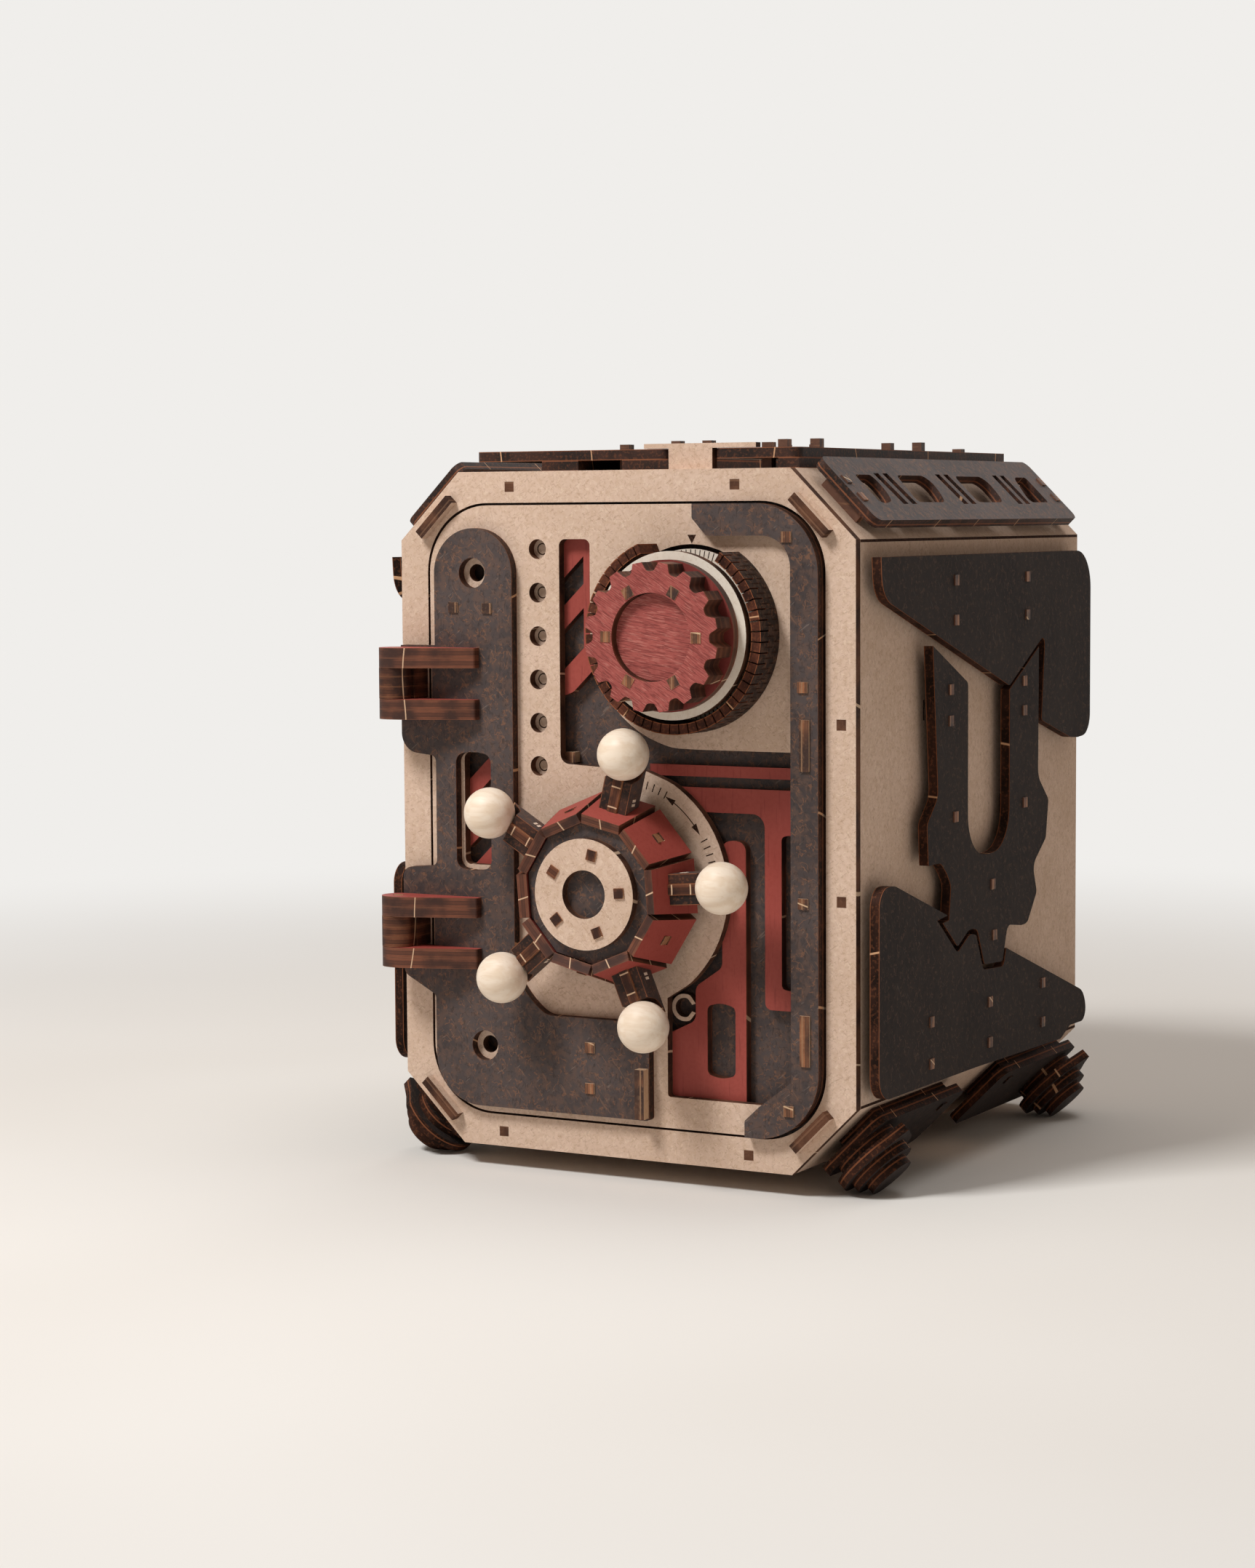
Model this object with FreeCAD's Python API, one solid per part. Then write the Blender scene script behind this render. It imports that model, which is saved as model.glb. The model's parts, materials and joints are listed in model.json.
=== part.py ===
"""A wooden mechanical safe kit of laser-cut sheets, with a handwheel, a combination dial and bolt work.

The case is an octagonal box whose front carries a hinged door. The handwheel's pinion drives a toothed
rack that slides three bolts behind the case's stop frame, and the dial turns its drive wheel and two
code wheels. Lengths are millimetres. The drawing frame has x to the right, y into the safe from the
front frame's face and z up from the octagon's lower edge. The finished pieces are moved so that the
origin is on the ground, under the middle of the whole object.
"""
import FreeCAD
import Part
import math
import os

V = FreeCAD.Vector

# Case
SHEET = 3.0                 # thickness of every sheet
FACET_ERROR = 0.2           # how far a flat facet may stray from the arc that it stands for
WIDTH = 150.0               # octagon across the sides
HEIGHT = 201.4              # octagon from lower to upper edge
DEPTH = 170.0               # front frame's face to the back
CHAMFER = 20.2              # octagon corner, along each side
FRAME_SIDE = 9.3            # front frame's border beside the opening
FRAME_LOW = 9.6             # front frame's border below the opening
FRAME_HIGH = 9.2            # front frame's border above the opening
OPENING_ROUND = 20.5
STOP_LIP = 3.7              # how far the stop frame reaches past the opening's edge
TAB = 3.1                   # a square tab end
TAB_PROUD = 0.5             # how far tab ends stand out of the plate that they hold
CORNER_TAB = 15.0           # the long tab end in each frame corner

# The drawn case, on which ornament outlines and tab places are given
DRAWN_WIDTH = 150.0
DRAWN_HEIGHT = 201.4
DRAWN_DEPTH = 170.0
FLOOR_TAB_X = 41.0          # tab ends of the lower panel, either side of the middle
ROOF_TAB_X = 37.2           # the same of the upper panel
SIDE_TAB_Z = (79.3, 129.3)  # tab ends of the side panels

# Door
DOOR_GAP = 0.9              # beside the door, in the opening
DOOR_GAP_END = 0.7          # above and below the door
ROUND_STEP = 0.5            # opening's corner radius less the door's
LEAF_GAP = 0.25             # door leaf's back to the stop frame
BACK_MARGIN = 4.3           # door edge to the back plate's edge, beside
BACK_MARGIN_END = 4.2       # the same above and below
BLIND_HOLES = 6             # the row of holes that don't go through
BLIND_HOLE_X = -27.6
BLIND_HOLE_DROP = 12.9      # door's upper edge to the first hole
BLIND_HOLE_PITCH = 12.76
HOLE_RADIUS = 2.9
STRIP_EDGE = 3.2            # strip behind the blind holes, either side of their middle
STRIP_END = 4.6             # the same past the first and last hole
RIVET_HOLES = ((-48.4, 171.6), (-45.3, 30.7))
RIVET_RADIUS = 2.6
RIVET_ROOM = 4.5            # hole in the trim round a rivet hole

# The door's connected window
CHANNEL = 10.3              # straight left channel
WINDOW_EDGE = 8.8           # door edge to the window's right side
WINDOW_DROP = 10.0          # door's upper edge to the window
WINDOW_RISE = 9.2           # door's lower edge to the window
WINDOW_BAND = 121.1         # upper edge of the band between the two round forms
WINDOW_LEDGE = 14.9         # left end of the lower leg
CHANNEL_FOOT = 115.8
RING_PLATE = 35.3           # leaf left round the handwheel
RING_TOP_TURN = 75.0        # where the band leaves that round form, degrees
HINGE_WINDOW = (-54.6, -42.5, 83.4, 118.2)
WINDOW_STEP = 1.2           # the leaf shows inside the trim's hinge window

# Trims on the door
TRIM_TABS = ((-54.9, 161.4), (-43.3, 161.2), (-9.3, 32.6), (-9.4, 20.5), (60.1, 139.8), (60.2, 78.6))
UPPER_CORNER_TAB = (55.1, 9.5)      # x, and below the door's upper edge
LOWER_CORNER_TAB = (55.5, 8.7)      # x, and above the door's lower edge
LONG_TAB = 14.6
LONG_TAB_PROUD = 0.6
LONG_TABS = ((60.7, 123.4), (60.7, 39.5))
FLOOR_LONG_TAB_X = 8.6      # the long tab end in the hinge trim's foot
FLOOR_LONG_TAB_EDGE = 0.8   # trim's lower edge to that tab end
HINGE_TRIM_LEFT = -61.6
HINGE_TRIM_RIGHT = -34.8
HINGE_TRIM_FOOT = 10.3      # right end of the trim's foot
HINGE_TRIM_SHOULDER = 171.4
HINGE_TRIM_WAIST = 52.0
HINGE_TRIM_STEP = 41.2      # upper edge of the foot
HINGE_TRIM_LOW = 12.4
HINGE_TRIM_FLARE = 0.8      # the foot stands further out than the stem
LUG_REACH = 1.4             # the lugs end this far past the pin
LUG_INSET = 9.6             # the knuckle's room ends this far inside the pin
LUG_LOW = (9.0, 3.0)        # the lug's slope below the lower arm
LUG_MIDDLE_LOW = (13.85, 14.85)     # the slope above the lower knuckle
LUG_MIDDLE_HIGH = (17.2, 10.0)      # the slope below the upper knuckle
LUG_PLAY = 0.3
LUG_CAP = 0.5
HINGE_TRIM_BEND = -25.0     # where the waist meets the foot
LOCK_TRIM_HEAD = (25.1, 29.7)       # left end of the head, and where it steps down
LOCK_TRIM_FOOT = (41.3, 46.0)       # the same of the foot
LOCK_TRIM_RISE = (4.8, 9.2, 16.6, 18.7)     # the foot's corners above the door's lower edge
LOCK_TRIM_DROP = (9.1, 4.1)         # the head's corners below the door's upper edge
LOCK_TRIM_INNER = 0.2       # the trim covers the window's edge by this much
LOCK_TRIM_BEVEL = 0.4

# Red plates behind the window
HOOK_BAND = (102.9, 110.0)
HOOK_LEG = (45.1, 60.0)
HOOK_LEFT = 15.0
HOOK_FOOT = 46.7
HOOK_SLOT = (50.4, 55.4, 52.7, 97.0)
SLOT_PLATE = ((31.3, 94.9, 3), (39.0, 94.9, 3), (39.0, 18.2, 1), (13.4, 18.2, 1), (13.4, 37.5, 1),
              (22.6, 42.0, 3), (22.6, 52.0, 3), (31.3, 58.0, 3))
SLOT_PLATE_SLOT = (26.4, 35.5, 26.1, 47.1)
THIN_BAR = (8.0, 60.0, 113.1, 116.4)
STRIPE_SLOPE = 44.0         # degrees, of the bars in both stripe plates
CHANNEL_PLATE = (-23.4, -9.0, 183.4)        # left, right and top of the plate behind the channel
CHANNEL_RAIL = -13.8        # where its right rail starts
CHANNEL_LEFT = -19.9        # where heights of its slots and of its foot are measured
CHANNEL_SLOTS = ((162.5, 170.6), (143.8, 155.5))
CHANNEL_PLATE_LOW = 136.3
WINDOW_PLATE = (-53.9, -38.6, 80.6, 121.0)  # the plate behind the hinge window
WINDOW_RAIL = -45.0
WINDOW_SLOTS = ((96.4, 102.6), (82.3, 89.2))
WINDOW_PLATE_CUT = 109.4    # height of its slanted top at the left edge
WINDOW_PEG = (-18.7, 117.4)
PEG = (18.8, 45.6)
PEG_OUTER = 4.0
PEG_INNER = 2.8
PEG_GAP = 20                # half of the ring's opening, degrees

# Hinges
PIN_OUT = 2.8               # hinge pin, inside the case's side face
PIN_FRONT = 8.4             # hinge pin, in front of the frame's face
PIN_RADIUS = 1.5
HINGE_FIT = 0.05            # radial, arm on pin
HINGE_ROUND = 5.0
HINGE_PLAY = 0.1            # along the pin, each end of a knuckle
KNUCKLE_HEIGHT = 9.3
KNUCKLE_LAYERS = 3
ARM_REACH = 26.0            # pin to the arm's end on the door
ARM_TIP = 2.55              # arm's thickness at that end
ARM_SHOULDER = 4.0          # pin to where the arm starts to taper
ARM_HEEL = 1.2              # pin to where the arm meets the trim
UPPER_HINGE = 138.85        # middle of the upper hinge, on the drawn height
LOWER_HINGE = 64.5          # middle of the lower hinge

# Handwheel
WHEEL_X = -0.6
WHEEL_Z = 80.2              # above the octagon's lower edge, on the drawn height
WHEEL_TURN = 4.4            # first spoke's angle at rest, degrees
WHEEL_LIFT = 21.65          # door leaf's face to the wheel's front
FACETS = 10
FACET_FRONT = 22.3          # apothem of the facets' front edge
FACET_BACK = 27.3           # apothem of their back edge
FACET_FRONT_WIDTH = 12.6
FACET_BACK_WIDTH = 15.8
FACET_DEPTH = 16.7          # along the axis
FACET_SET = 0.7             # facets' front edge behind the wheel's front
TILE_PLAY = 0.1             # spoke or rib to the tile's inner face
HUB_RING = 16.1             # light front ring, outside
HUB_RING_HOLE = 7.0
HUB_FRONT = 19.5            # apothem of the front hub plate
HUB_BACK = 22.8             # apothem of the back hub plate
HUB_BACK_LIFT = 7.75        # door leaf's face to the back hub plate
RING_TAB = 11.7             # radius of the tab ends in the front ring
SPOKE_START = 8.0           # inner end of a spoke
RIB_START = 12.0
BALL = 7.5
BALL_RINGS = 7
BALL_SIDES = 14
BALL_REACH = 41.2           # axis to a ball's centre
BALL_LIFT = 15.15           # door leaf's face to the balls' centres
SPOKE_SET = 0.4             # spoke's front behind the balls' centres
SPOKE_DEPTH = 7.0
SPOKE_PROUD = 0.5           # the middle layer stands out of the side layers
SPOKE_SEAM = 0.02           # side layer to the tile
SIDE_LAYERS = (-1.5, 0.5)   # where the side layers start, in sheets from the spoke's middle
WHEEL_SHAFT = 4.0
WHEEL_BEARING = 9.0
SHAFT_FIT = 0.05            # radial, both shafts in their bearings

# Dial
DIAL_X = 23.2
DIAL_Z = 154.2              # on the drawn height
DIAL_HOLE = 25.8            # round opening in the leaf
DIAL_ISLAND = 33.2          # leaf left round that opening
DIAL_GAP = 0.15             # scale disc to its bearing ring
SCALE_RADIUS = 24.5
SCALE_THICK = 2.8
DIAL_HUB = 18.0
DIAL_HUB_DEPTH = 9.6
RIM_RADIUS = 24.0
RED_RADIUS = 21.6
FACE_RADIUS = 21.2          # crests of the grip ring
FACE_LAYERS = 3
FACE_RECESS = 12.5
CENTRE_DISC = 0.5           # thickness of the disc in the recess
CENTRE_PLAY = 0.2
SCALLOPS = 16
SCALLOP_RADIUS = 2.7        # a bite's depth and half its width
SCALLOP_SHAPE = ((-1, 0), (-0.6, 0.78), (0, 1), (0.6, 0.78), (1, 0))    # shares of that radius
DIAL_TABS = 6
DIAL_TAB_RADIUS = 14.4
DIAL_TAB_PROUD = 0.2
GUARD_INNER = 25.2
GUARD_WALL = 3.0
GUARD_DEPTH = 11.75
GUARD_OPEN_FROM = 57.0      # degrees, the gap that shows the scale
GUARD_OPEN_TO = 113.0
GUARD_CUTS = 48             # the kerf cuts that let the strip bend
CUT_WIDTH = 0.4
CUT_REACH = 0.45            # a cut's share of the strip's depth
DIAL_SHAFT = 3.5
DIAL_BEARING = 9.0

# Lock
MODULE = 1.6
PINION_TEETH = 10
PINION_PLAY = 0.5           # pinion's faces inside the rack's
PRESSURE = 25.0             # degrees
PINION_ADDENDUM = 0.8
RACK_ADDENDUM = 1.12
DEDENDUM = 1.25
TOOTH_PLAY = 0.15           # each flank
LOCK_DEPTH = 18.25          # door back plate to the cover
LOCK_WALL_IN = 7.8          # door edge to the lock walls' outside
WALL_LOW = 18.2             # lower lock wall above the octagon's edge
BOLT_LEVELS = (45.0, 100.0, 155.0)
BOLT_THROW_GAP = 2.5        # a drawn-back bolt's tip, inside the stop frame
BOLT_HEIGHT = 12.0
BOLT_ROUND = 1.5
BOLT_PLAY = 0.3
BAR_WIDTH = 6.5
BAR_DEPTH = 6.0
BAR_END = 15.0              # bar past the first and last bolt
BAR_TO_DIAL = 16.8          # dial axis to the bolt bar
RACK_TALL = 5.7             # the rack below its teeth
RACK_REACH = 25.4           # wheel axis to the rack's free end
RACK_TEETH_RIGHT = 4        # teeth right of the axis
RAIL = 4.0                  # a guide's foot beside the bar
RAIL_LIP = 2.0              # a guide's lip over the bar
RACK_RAIL_START = 8.0       # rack's free end to its guide
RACK_RAIL_END = 12.0        # the guide's end to the bar
CODE_WHEEL = 15.0
CODE_START = 1.25           # door back plate to the drive wheel
CODE_GAP = 1.0              # between the code wheels
GATE_WIDTH = 4.0
GATE_DEPTH = 4.0
GATE_ROUND = 0.8
PEG_CIRCLE = 9.5            # the driving pegs' distance from the dial's axis
PEG_SIZE = 2.4
PEG_SHARE = 0.7             # a peg's reach across the gap
PEG_TURNS = (0, 25, 50, 75)         # the drive wheel's peg, the two of the first wheel, the last one's
FENCE_CLEAR = 0.6           # fence nose to the code wheels
FENCE_HALF = 1.5

# Side ornament plates
UPPER_PLATE = ((4, 176.2), (166.5, 176.2, 12), (166.5, 116.8, 7), (150, 116.8, 12), (124.6, 123.8, 1.5),
               (127.4, 150.9, 2), (98.2, 135.9, 2), (5, 164.8, 9))
MIDDLE_PLATE = ((40.1, 150.1), (44, 106, 6), (36, 98.6, 3), (37, 86.5), (46, 86.5, 4), (53.6, 79.5, 4),
                (52, 69), (47.6, 68.6), (58.5, 60.4, 1.5), (66.8, 64.4, 3), (73.4, 64, 3),
                (79, 52.6, 1.5), (93.1, 51.8, 1.5), (97.2, 62.6, 3), (108.5, 61.2, 2), (113.6, 61.8, 1.5),
                (121, 70.4, 2), (117.6, 79, 4), (128.4, 86.6, 2), (130.6, 98.6, 2), (121.7, 106.4, 6),
                (122.1, 146.8), (98.4, 134.7), (98.4, 86, 13), (66, 86, 13), (66, 138.3, 2))
LOWER_PLATE = ((13.1, 83.1, 8), (2.7, 83.4, 6), (2.6, 22.6, 7), (72, 22.2, 3), (142, 20.9, 4), (150, 24.2, 5),
               (165, 24, 4), (162.5, 33.6, 8))
TOOTH_GAP = 1.6             # between the middle and the lower plate
MOUNT_END = 4.0             # a spacer reaches this far past its tab ends
UPPER_MOUNTS = ((56.6, 157.1, 168.8), (112.1, 157.1, 168.8))
MIDDLE_MOUNTS = ((52.7, 127.7, 136.9), (109.8, 127.7, 136.8), (56.3, 99.2, 99.2), (110.3, 99.2, 99.2),
                 (84.8, 76.4, 76.4), (86.1, 60.8, 60.8))
LOWER_MOUNTS = ((38.9, 28.3, 40.6), (83.0, 28.3, 40.7), (125.9, 28.6, 41.0))

# Louvre plates on the upper chamfers; across the slope 1 is the windows' upper edge and -1 the lower one
PLATE_MARGIN = 8.0          # roof and corner plates, from the front and back
PLATE_ROUND = 3.0           # their corners
LOUVRE_HALF = 12.8
LOUVRE_TAB_IN = 3.4         # tab ends inside the plate's ends
LOUVRE_TAB_UP = (-3.6, 3.4)
WINDOW_HALF = 5.6
LOUVRE_WINDOWS = (
    ((20.5, 1, 1.2), (20.5, -1, 1.2), (29.5, -1, 4), (32.0, 0, 6), (31.5, 1, 2)),
    ((49.3, 1, 2), (47.2, -1, 2), (67.5, -1, 4), (72.8, 1, 4)),
    ((92.1, 1, 2), (92.4, -1, 2), (112.7, -1, 4), (115.6, 1, 4)),
    ((149.5, -1, 1.2), (149.5, 1, 1.2), (139.5, 1, 4), (133.8, -1, 2)),
)
LOUVRE_SLOTS = ((34.1, 35.9), (78.4, 80.1), (122.9, 123.4))
SLOT_HALF = 6.3
SLOT_WIDE = 3.4
SLOT_STEP = 6.2             # the second slot of a pair

# Feet
FOOT_OUT = 12.5             # radius of the drop plate
FOOT_MIDDLE = 9.8
FOOT_END = 7.1
FOOT_TIP = 16.8             # drop plate's point, up the slope
FOOT_LEAN = 2.8             # the point leans to the nearer end of the case
FOOT_SHOULDERS = (58, 122)  # where the point leaves the round, degrees
FOOT_SHIFT = 1.5            # discs' centre, up the slope
FOOT_FROM_END = 16.3        # discs' centre from the front or back
FOOT_PLATE_LOW = -10.7      # base plate, down the slope
FOOT_PLATE_HIGH = 14.1
FOOT_PLATE_LONG = 62.0      # along the case
FOOT_PLATE_ROUND = 4.0
FOOT_TAB = 20.0             # tab ends in a base plate, either side of its middle
FOOT_TAB_UP = 9.0           # the same, up the slope
SPACER_INSET = 6.0          # foot spacer inside its base plate
SPACER_LOW = 4.0            # below the discs' centre
SPACER_HIGH = 3.0           # above the tab ends

# Roof
ROOF_PLATES = ((-53.7, 11.5), (26.3, 53.7))
ROOF_RAILS = ((-30.6, -18.3), (-3.6, 11.5), (47.1, 53.7))
ROOF_END_ROW = (-6.3, 40.2)
ROOF_INNER_ROW = (-6.3, 4.3, 29.6, 40.2)
ROOF_PEGS = ((16.0, ROOF_END_ROW, 1.6), (48.0, ROOF_INNER_ROW, 3.2),
             (122.0, ROOF_INNER_ROW, 3.2), (154.0, ROOF_END_ROW, 1.6))    # y, places, height over the plates
CREST_TALL = 7.5
CREST_BAR = (3.7, 40.0)
CREST_PLAY = 0.3            # crest's foot between the roof plates
CREST_LIFT = 0.1            # crest's bar over the roof plates

# Derived places
HALF = WIDTH / 2
OPEN_HALF = HALF - FRAME_SIDE
OPEN_TOP = HEIGHT - FRAME_HIGH
DOOR_HALF = OPEN_HALF - DOOR_GAP
DOOR_LOW = FRAME_LOW + DOOR_GAP_END
DOOR_TOP = OPEN_TOP - DOOR_GAP_END
DOOR_ROUND = OPENING_ROUND - ROUND_STEP
LEAF_BACK = SHEET - LEAF_GAP
LEAF_FRONT = -LEAF_GAP
TRIM_FRONT = LEAF_FRONT - SHEET
RED_BACK = LEAF_BACK + SHEET
PLATE_BACK = RED_BACK + SHEET
COVER_FRONT = PLATE_BACK + LOCK_DEPTH
PIN = (-(HALF - PIN_OUT), -PIN_FRONT)


def across(x):
    """A drawn x on the actual width."""
    return x * WIDTH / DRAWN_WIDTH


def along(y):
    """A drawn y on the actual depth."""
    return y * DEPTH / DRAWN_DEPTH


def up(z):
    """A drawn z on the actual height."""
    return z * HEIGHT / DRAWN_HEIGHT


WHEEL = (across(WHEEL_X), up(WHEEL_Z))
DIAL = (across(DIAL_X), up(DIAL_Z))
WALL_OUT = DOOR_HALF - LOCK_WALL_IN
WALL_TOP = DOOR_TOP - LOCK_WALL_IN
WALL_ROUND = DOOR_ROUND - LOCK_WALL_IN
BAR_LEFT = DIAL[0] + BAR_TO_DIAL
BAR_FRONT = PLATE_BACK + BOLT_PLAY
BAR_BACK = BAR_FRONT + BAR_DEPTH
BOLT_TIP = OPEN_HALF - STOP_LIP - BOLT_THROW_GAP
PITCH = MODULE * PINION_TEETH / 2
RACK_LINE = WHEEL[1] - PITCH
RACK_BASE = RACK_LINE - DEDENDUM * MODULE
RACK_LEFT = WHEEL[0] - RACK_REACH
SCALE_BACK = LEAF_BACK - DIAL_GAP
SCALE_FRONT = SCALE_BACK - SCALE_THICK
RIM_FRONT = SCALE_FRONT - DIAL_HUB_DEPTH - SHEET
RED_FRONT = RIM_FRONT - SHEET
FACE_FRONT = RED_FRONT - FACE_LAYERS * SHEET
WHEEL_FRONT = LEAF_FRONT - WHEEL_LIFT
HUB_FRONT_Y = WHEEL_FRONT + SHEET
HUB_BACK_Y = LEAF_FRONT - HUB_BACK_LIFT
FACET_FRONT_Y = WHEEL_FRONT + FACET_SET
FACET_BACK_Y = FACET_FRONT_Y + FACET_DEPTH
FACET_SLOPE = (FACET_BACK - FACET_FRONT) / FACET_DEPTH
BALL_Y = LEAF_FRONT - BALL_LIFT
BALL_SEAT = BALL + FACET_ERROR
SPOKE_FRONT = BALL_Y + SPOKE_SET
SPOKE_BACK = SPOKE_FRONT + SPOKE_DEPTH


class Plane:
    """A drawing plane: u and v lie in it and a sheet grows along n."""

    def __init__(self, origin, u, v, n):
        """Keep the plane's origin and its three directions."""
        self.origin = origin
        self.u = u
        self.v = v
        self.n = n

    def at(self, u, v, n=0.0):
        """The point in space at u, v and n."""
        return self.origin + self.u * u + self.v * v + self.n * n

    def moved(self, n):
        """The same plane, further along n."""
        return Plane(self.at(0, 0, n), self.u, self.v, self.n)

    def section(self, u):
        """The plane across this one at u: its u is v here, its v is n and it grows along u."""
        return Plane(self.at(u, 0), self.v, self.n, self.u)


class Via:
    """A point that the side between two corners bends through, as an arc."""

    def __init__(self, u, v):
        """Keep the point under the names that a vector has."""
        self.x = u
        self.y = v


def front(y):
    """The plane that faces the front, at y."""
    return Plane(V(0, y, 0), V(1, 0, 0), V(0, 0, 1), V(0, 1, 0))


def side(sign, off):
    """The right (1) or left (-1) face of the case, moved out by off."""
    return Plane(V(sign * (HALF + off), 0, 0), V(0, 1, 0), V(0, 0, 1), V(sign, 0, 0))


def flat(z):
    """The level plane at z."""
    return Plane(V(0, 0, z), V(1, 0, 0), V(0, 1, 0), V(0, 0, 1))


def corner(sx, sz, off):
    """Plane on a case chamfer: u runs inwards along y, v up the slope, n out of the case."""
    slope = math.sqrt(0.5)
    edge = 0.0 if sz < 0 else HEIGHT
    middle = V(sx * (HALF - CHAMFER / 2), 0, edge - sz * CHAMFER / 2)
    n = V(sx * slope, 0, sz * slope)
    v = V(-sx * sz * slope, 0, slope)
    return Plane(middle + n * off, V(0, 1, 0), v, n)


def radial(centre, degrees):
    """Plane through an axis along y: u is the radius, v is y, n is the direction of turning."""
    a = math.radians(degrees)
    out = V(math.cos(a), 0, math.sin(a))
    return Plane(V(centre[0], 0, centre[1]), out, V(0, 1, 0), V(-math.sin(a), 0, math.cos(a)))


def tangent_points(before, here, after, r):
    """Where a rounding of radius r leaves the two sides of a corner, and its middle."""
    spot = V(here[0], here[1], 0)
    a = V(before[0] - here[0], before[1] - here[1], 0).normalize()
    b = V(after[0] - here[0], after[1] - here[1], 0).normalize()
    half = a.getAngle(b) / 2
    run = r / math.tan(half)
    middle = spot + (a + b).normalize() * (r / math.sin(half) - r)
    return spot + a * run, middle, spot + b * run


def facet_count(r, angle):
    """How many flat facets an arc needs so that none strays from it by more than FACET_ERROR."""
    step = 2 * math.acos(max(1 - FACET_ERROR / r, 0.5))
    return max(1, math.ceil(angle / step - 1e-6))


def bend(start, middle, end):
    """The points of an arc from start through middle, without its end."""
    ax, ay = start.x - middle.x, start.y - middle.y
    bx, by = end.x - middle.x, end.y - middle.y
    twist = 2 * (ax * by - ay * bx)
    a2, b2 = ax * ax + ay * ay, bx * bx + by * by
    cx = middle.x + (by * a2 - ay * b2) / twist
    cy = middle.y + (ax * b2 - bx * a2) / twist
    r = math.hypot(start.x - cx, start.y - cy)
    first = math.atan2(start.y - cy, start.x - cx)
    sweep = math.atan2(end.y - cy, end.x - cx) - first
    if twist > 0 and sweep > 0:
        sweep -= 2 * math.pi
    elif twist <= 0 and sweep < 0:
        sweep += 2 * math.pi
    count = facet_count(r, abs(sweep))
    turns = [first + sweep * i / count for i in range(count)]
    return [(cx + r * math.cos(t), cy + r * math.sin(t)) for t in turns]


def wire(plane, points):
    """A closed outline. (u, v, r) rounds that corner; a Via bends the side that it stands in."""
    corners = []
    bends = {}
    for point in points:
        if isinstance(point, Via):
            bends[len(corners) - 1] = point
        else:
            corners.append(point)
    count = len(corners)
    legs = []
    for i, here in enumerate(corners):
        if len(here) > 2 and here[2] > 0:
            legs.append(tangent_points(corners[i - 1], here, corners[(i + 1) % count], here[2]))
        else:
            spot = V(here[0], here[1], 0)
            legs.append((spot, None, spot))
    path = []
    for i, (enter, middle, leave) in enumerate(legs):
        if middle is not None:
            path += bend(enter, middle, leave)
        arrive = legs[(i + 1) % count][0]
        if i in bends:
            path += bend(leave, bends[i], arrive)
        elif leave.distanceToPoint(arrive) > 1e-6:
            path.append((leave.x, leave.y))
    spots = [plane.at(u, v) for u, v in path]
    return Part.makePolygon(spots + spots[:1])


def circle(plane, centre, r, bore=False):
    """A round outline in facets from its lowest point on. A bore's facets touch the circle from outside."""
    count = max(8, facet_count(r, 2 * math.pi))
    reach = r / math.cos(math.pi / count) if bore else r
    turns = [2 * math.pi * i / count - math.pi / 2 for i in range(count)]
    spots = [plane.at(centre[0] + reach * math.cos(t), centre[1] + reach * math.sin(t)) for t in turns]
    return Part.makePolygon(spots + spots[:1])


def sheet(plane, outer, holes=(), thick=None):
    """A flat piece: outer and holes are outlines or ready wires."""
    wires = []
    for item in [outer, *holes]:
        wires.append(item if isinstance(item, Part.Wire) else wire(plane, item))
    face = Part.makeFace(wires, "Part::FaceMakerBullseye")
    return face.extrude(plane.n * (SHEET if thick is None else thick))


def rect(u, v, wide, tall, degrees=0.0):
    """The outline of a rectangle about (u, v), turned."""
    a = math.radians(degrees)
    spots = []
    for x, y in ((-wide / 2, -tall / 2), (wide / 2, -tall / 2), (wide / 2, tall / 2), (-wide / 2, tall / 2)):
        spots.append((u + x * math.cos(a) - y * math.sin(a), v + x * math.sin(a) + y * math.cos(a)))
    return spots


def span(u0, u1, v0, v1, r=0.0):
    """The outline of a rectangle between limits."""
    return [(u0, v0, r), (u1, v0, r), (u1, v1, r), (u0, v1, r)]


def polar(centre, r, degrees):
    """The point at a radius and an angle from a centre."""
    a = math.radians(degrees)
    return centre[0] + r * math.cos(a), centre[1] + r * math.sin(a)


def disc(y, centre, r, holes=(), thick=None):
    """A round plate that faces the front; its holes are wires."""
    plane = front(y)
    return sheet(plane, circle(plane, centre, r), holes, thick)


def bored(y, centre, r, bore, thick=None):
    """A round plate with a bore for a shaft."""
    return disc(y, centre, r, [circle(front(y), centre, bore, True)], thick)


def block(plane, u0, u1, v0, v1, n0, n1):
    """A box between limits on a plane."""
    return sheet(plane.moved(n0), span(u0, u1, v0, v1), thick=n1 - n0)


def octagon(off):
    """The case outline, moved outwards by off, from the lower left corner round to the left."""
    half = HALF + off
    top = HEIGHT + off
    leg = CHAMFER + off * (2 - math.sqrt(2))
    return [(-half + leg, -off), (half - leg, -off), (half, leg - off), (half, top - leg),
            (half - leg, top), (-half + leg, top), (-half, top - leg), (-half, leg - off)]


def strip(k, inner, outer, y0, y1):
    """One of the eight case sides, between two octagons, mitred to its neighbours."""
    a, b = octagon(inner), octagon(outer)
    j = (k + 1) % 8
    return sheet(front(y0), [a[k], a[j], b[j], b[k]], thick=y1 - y0)


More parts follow.
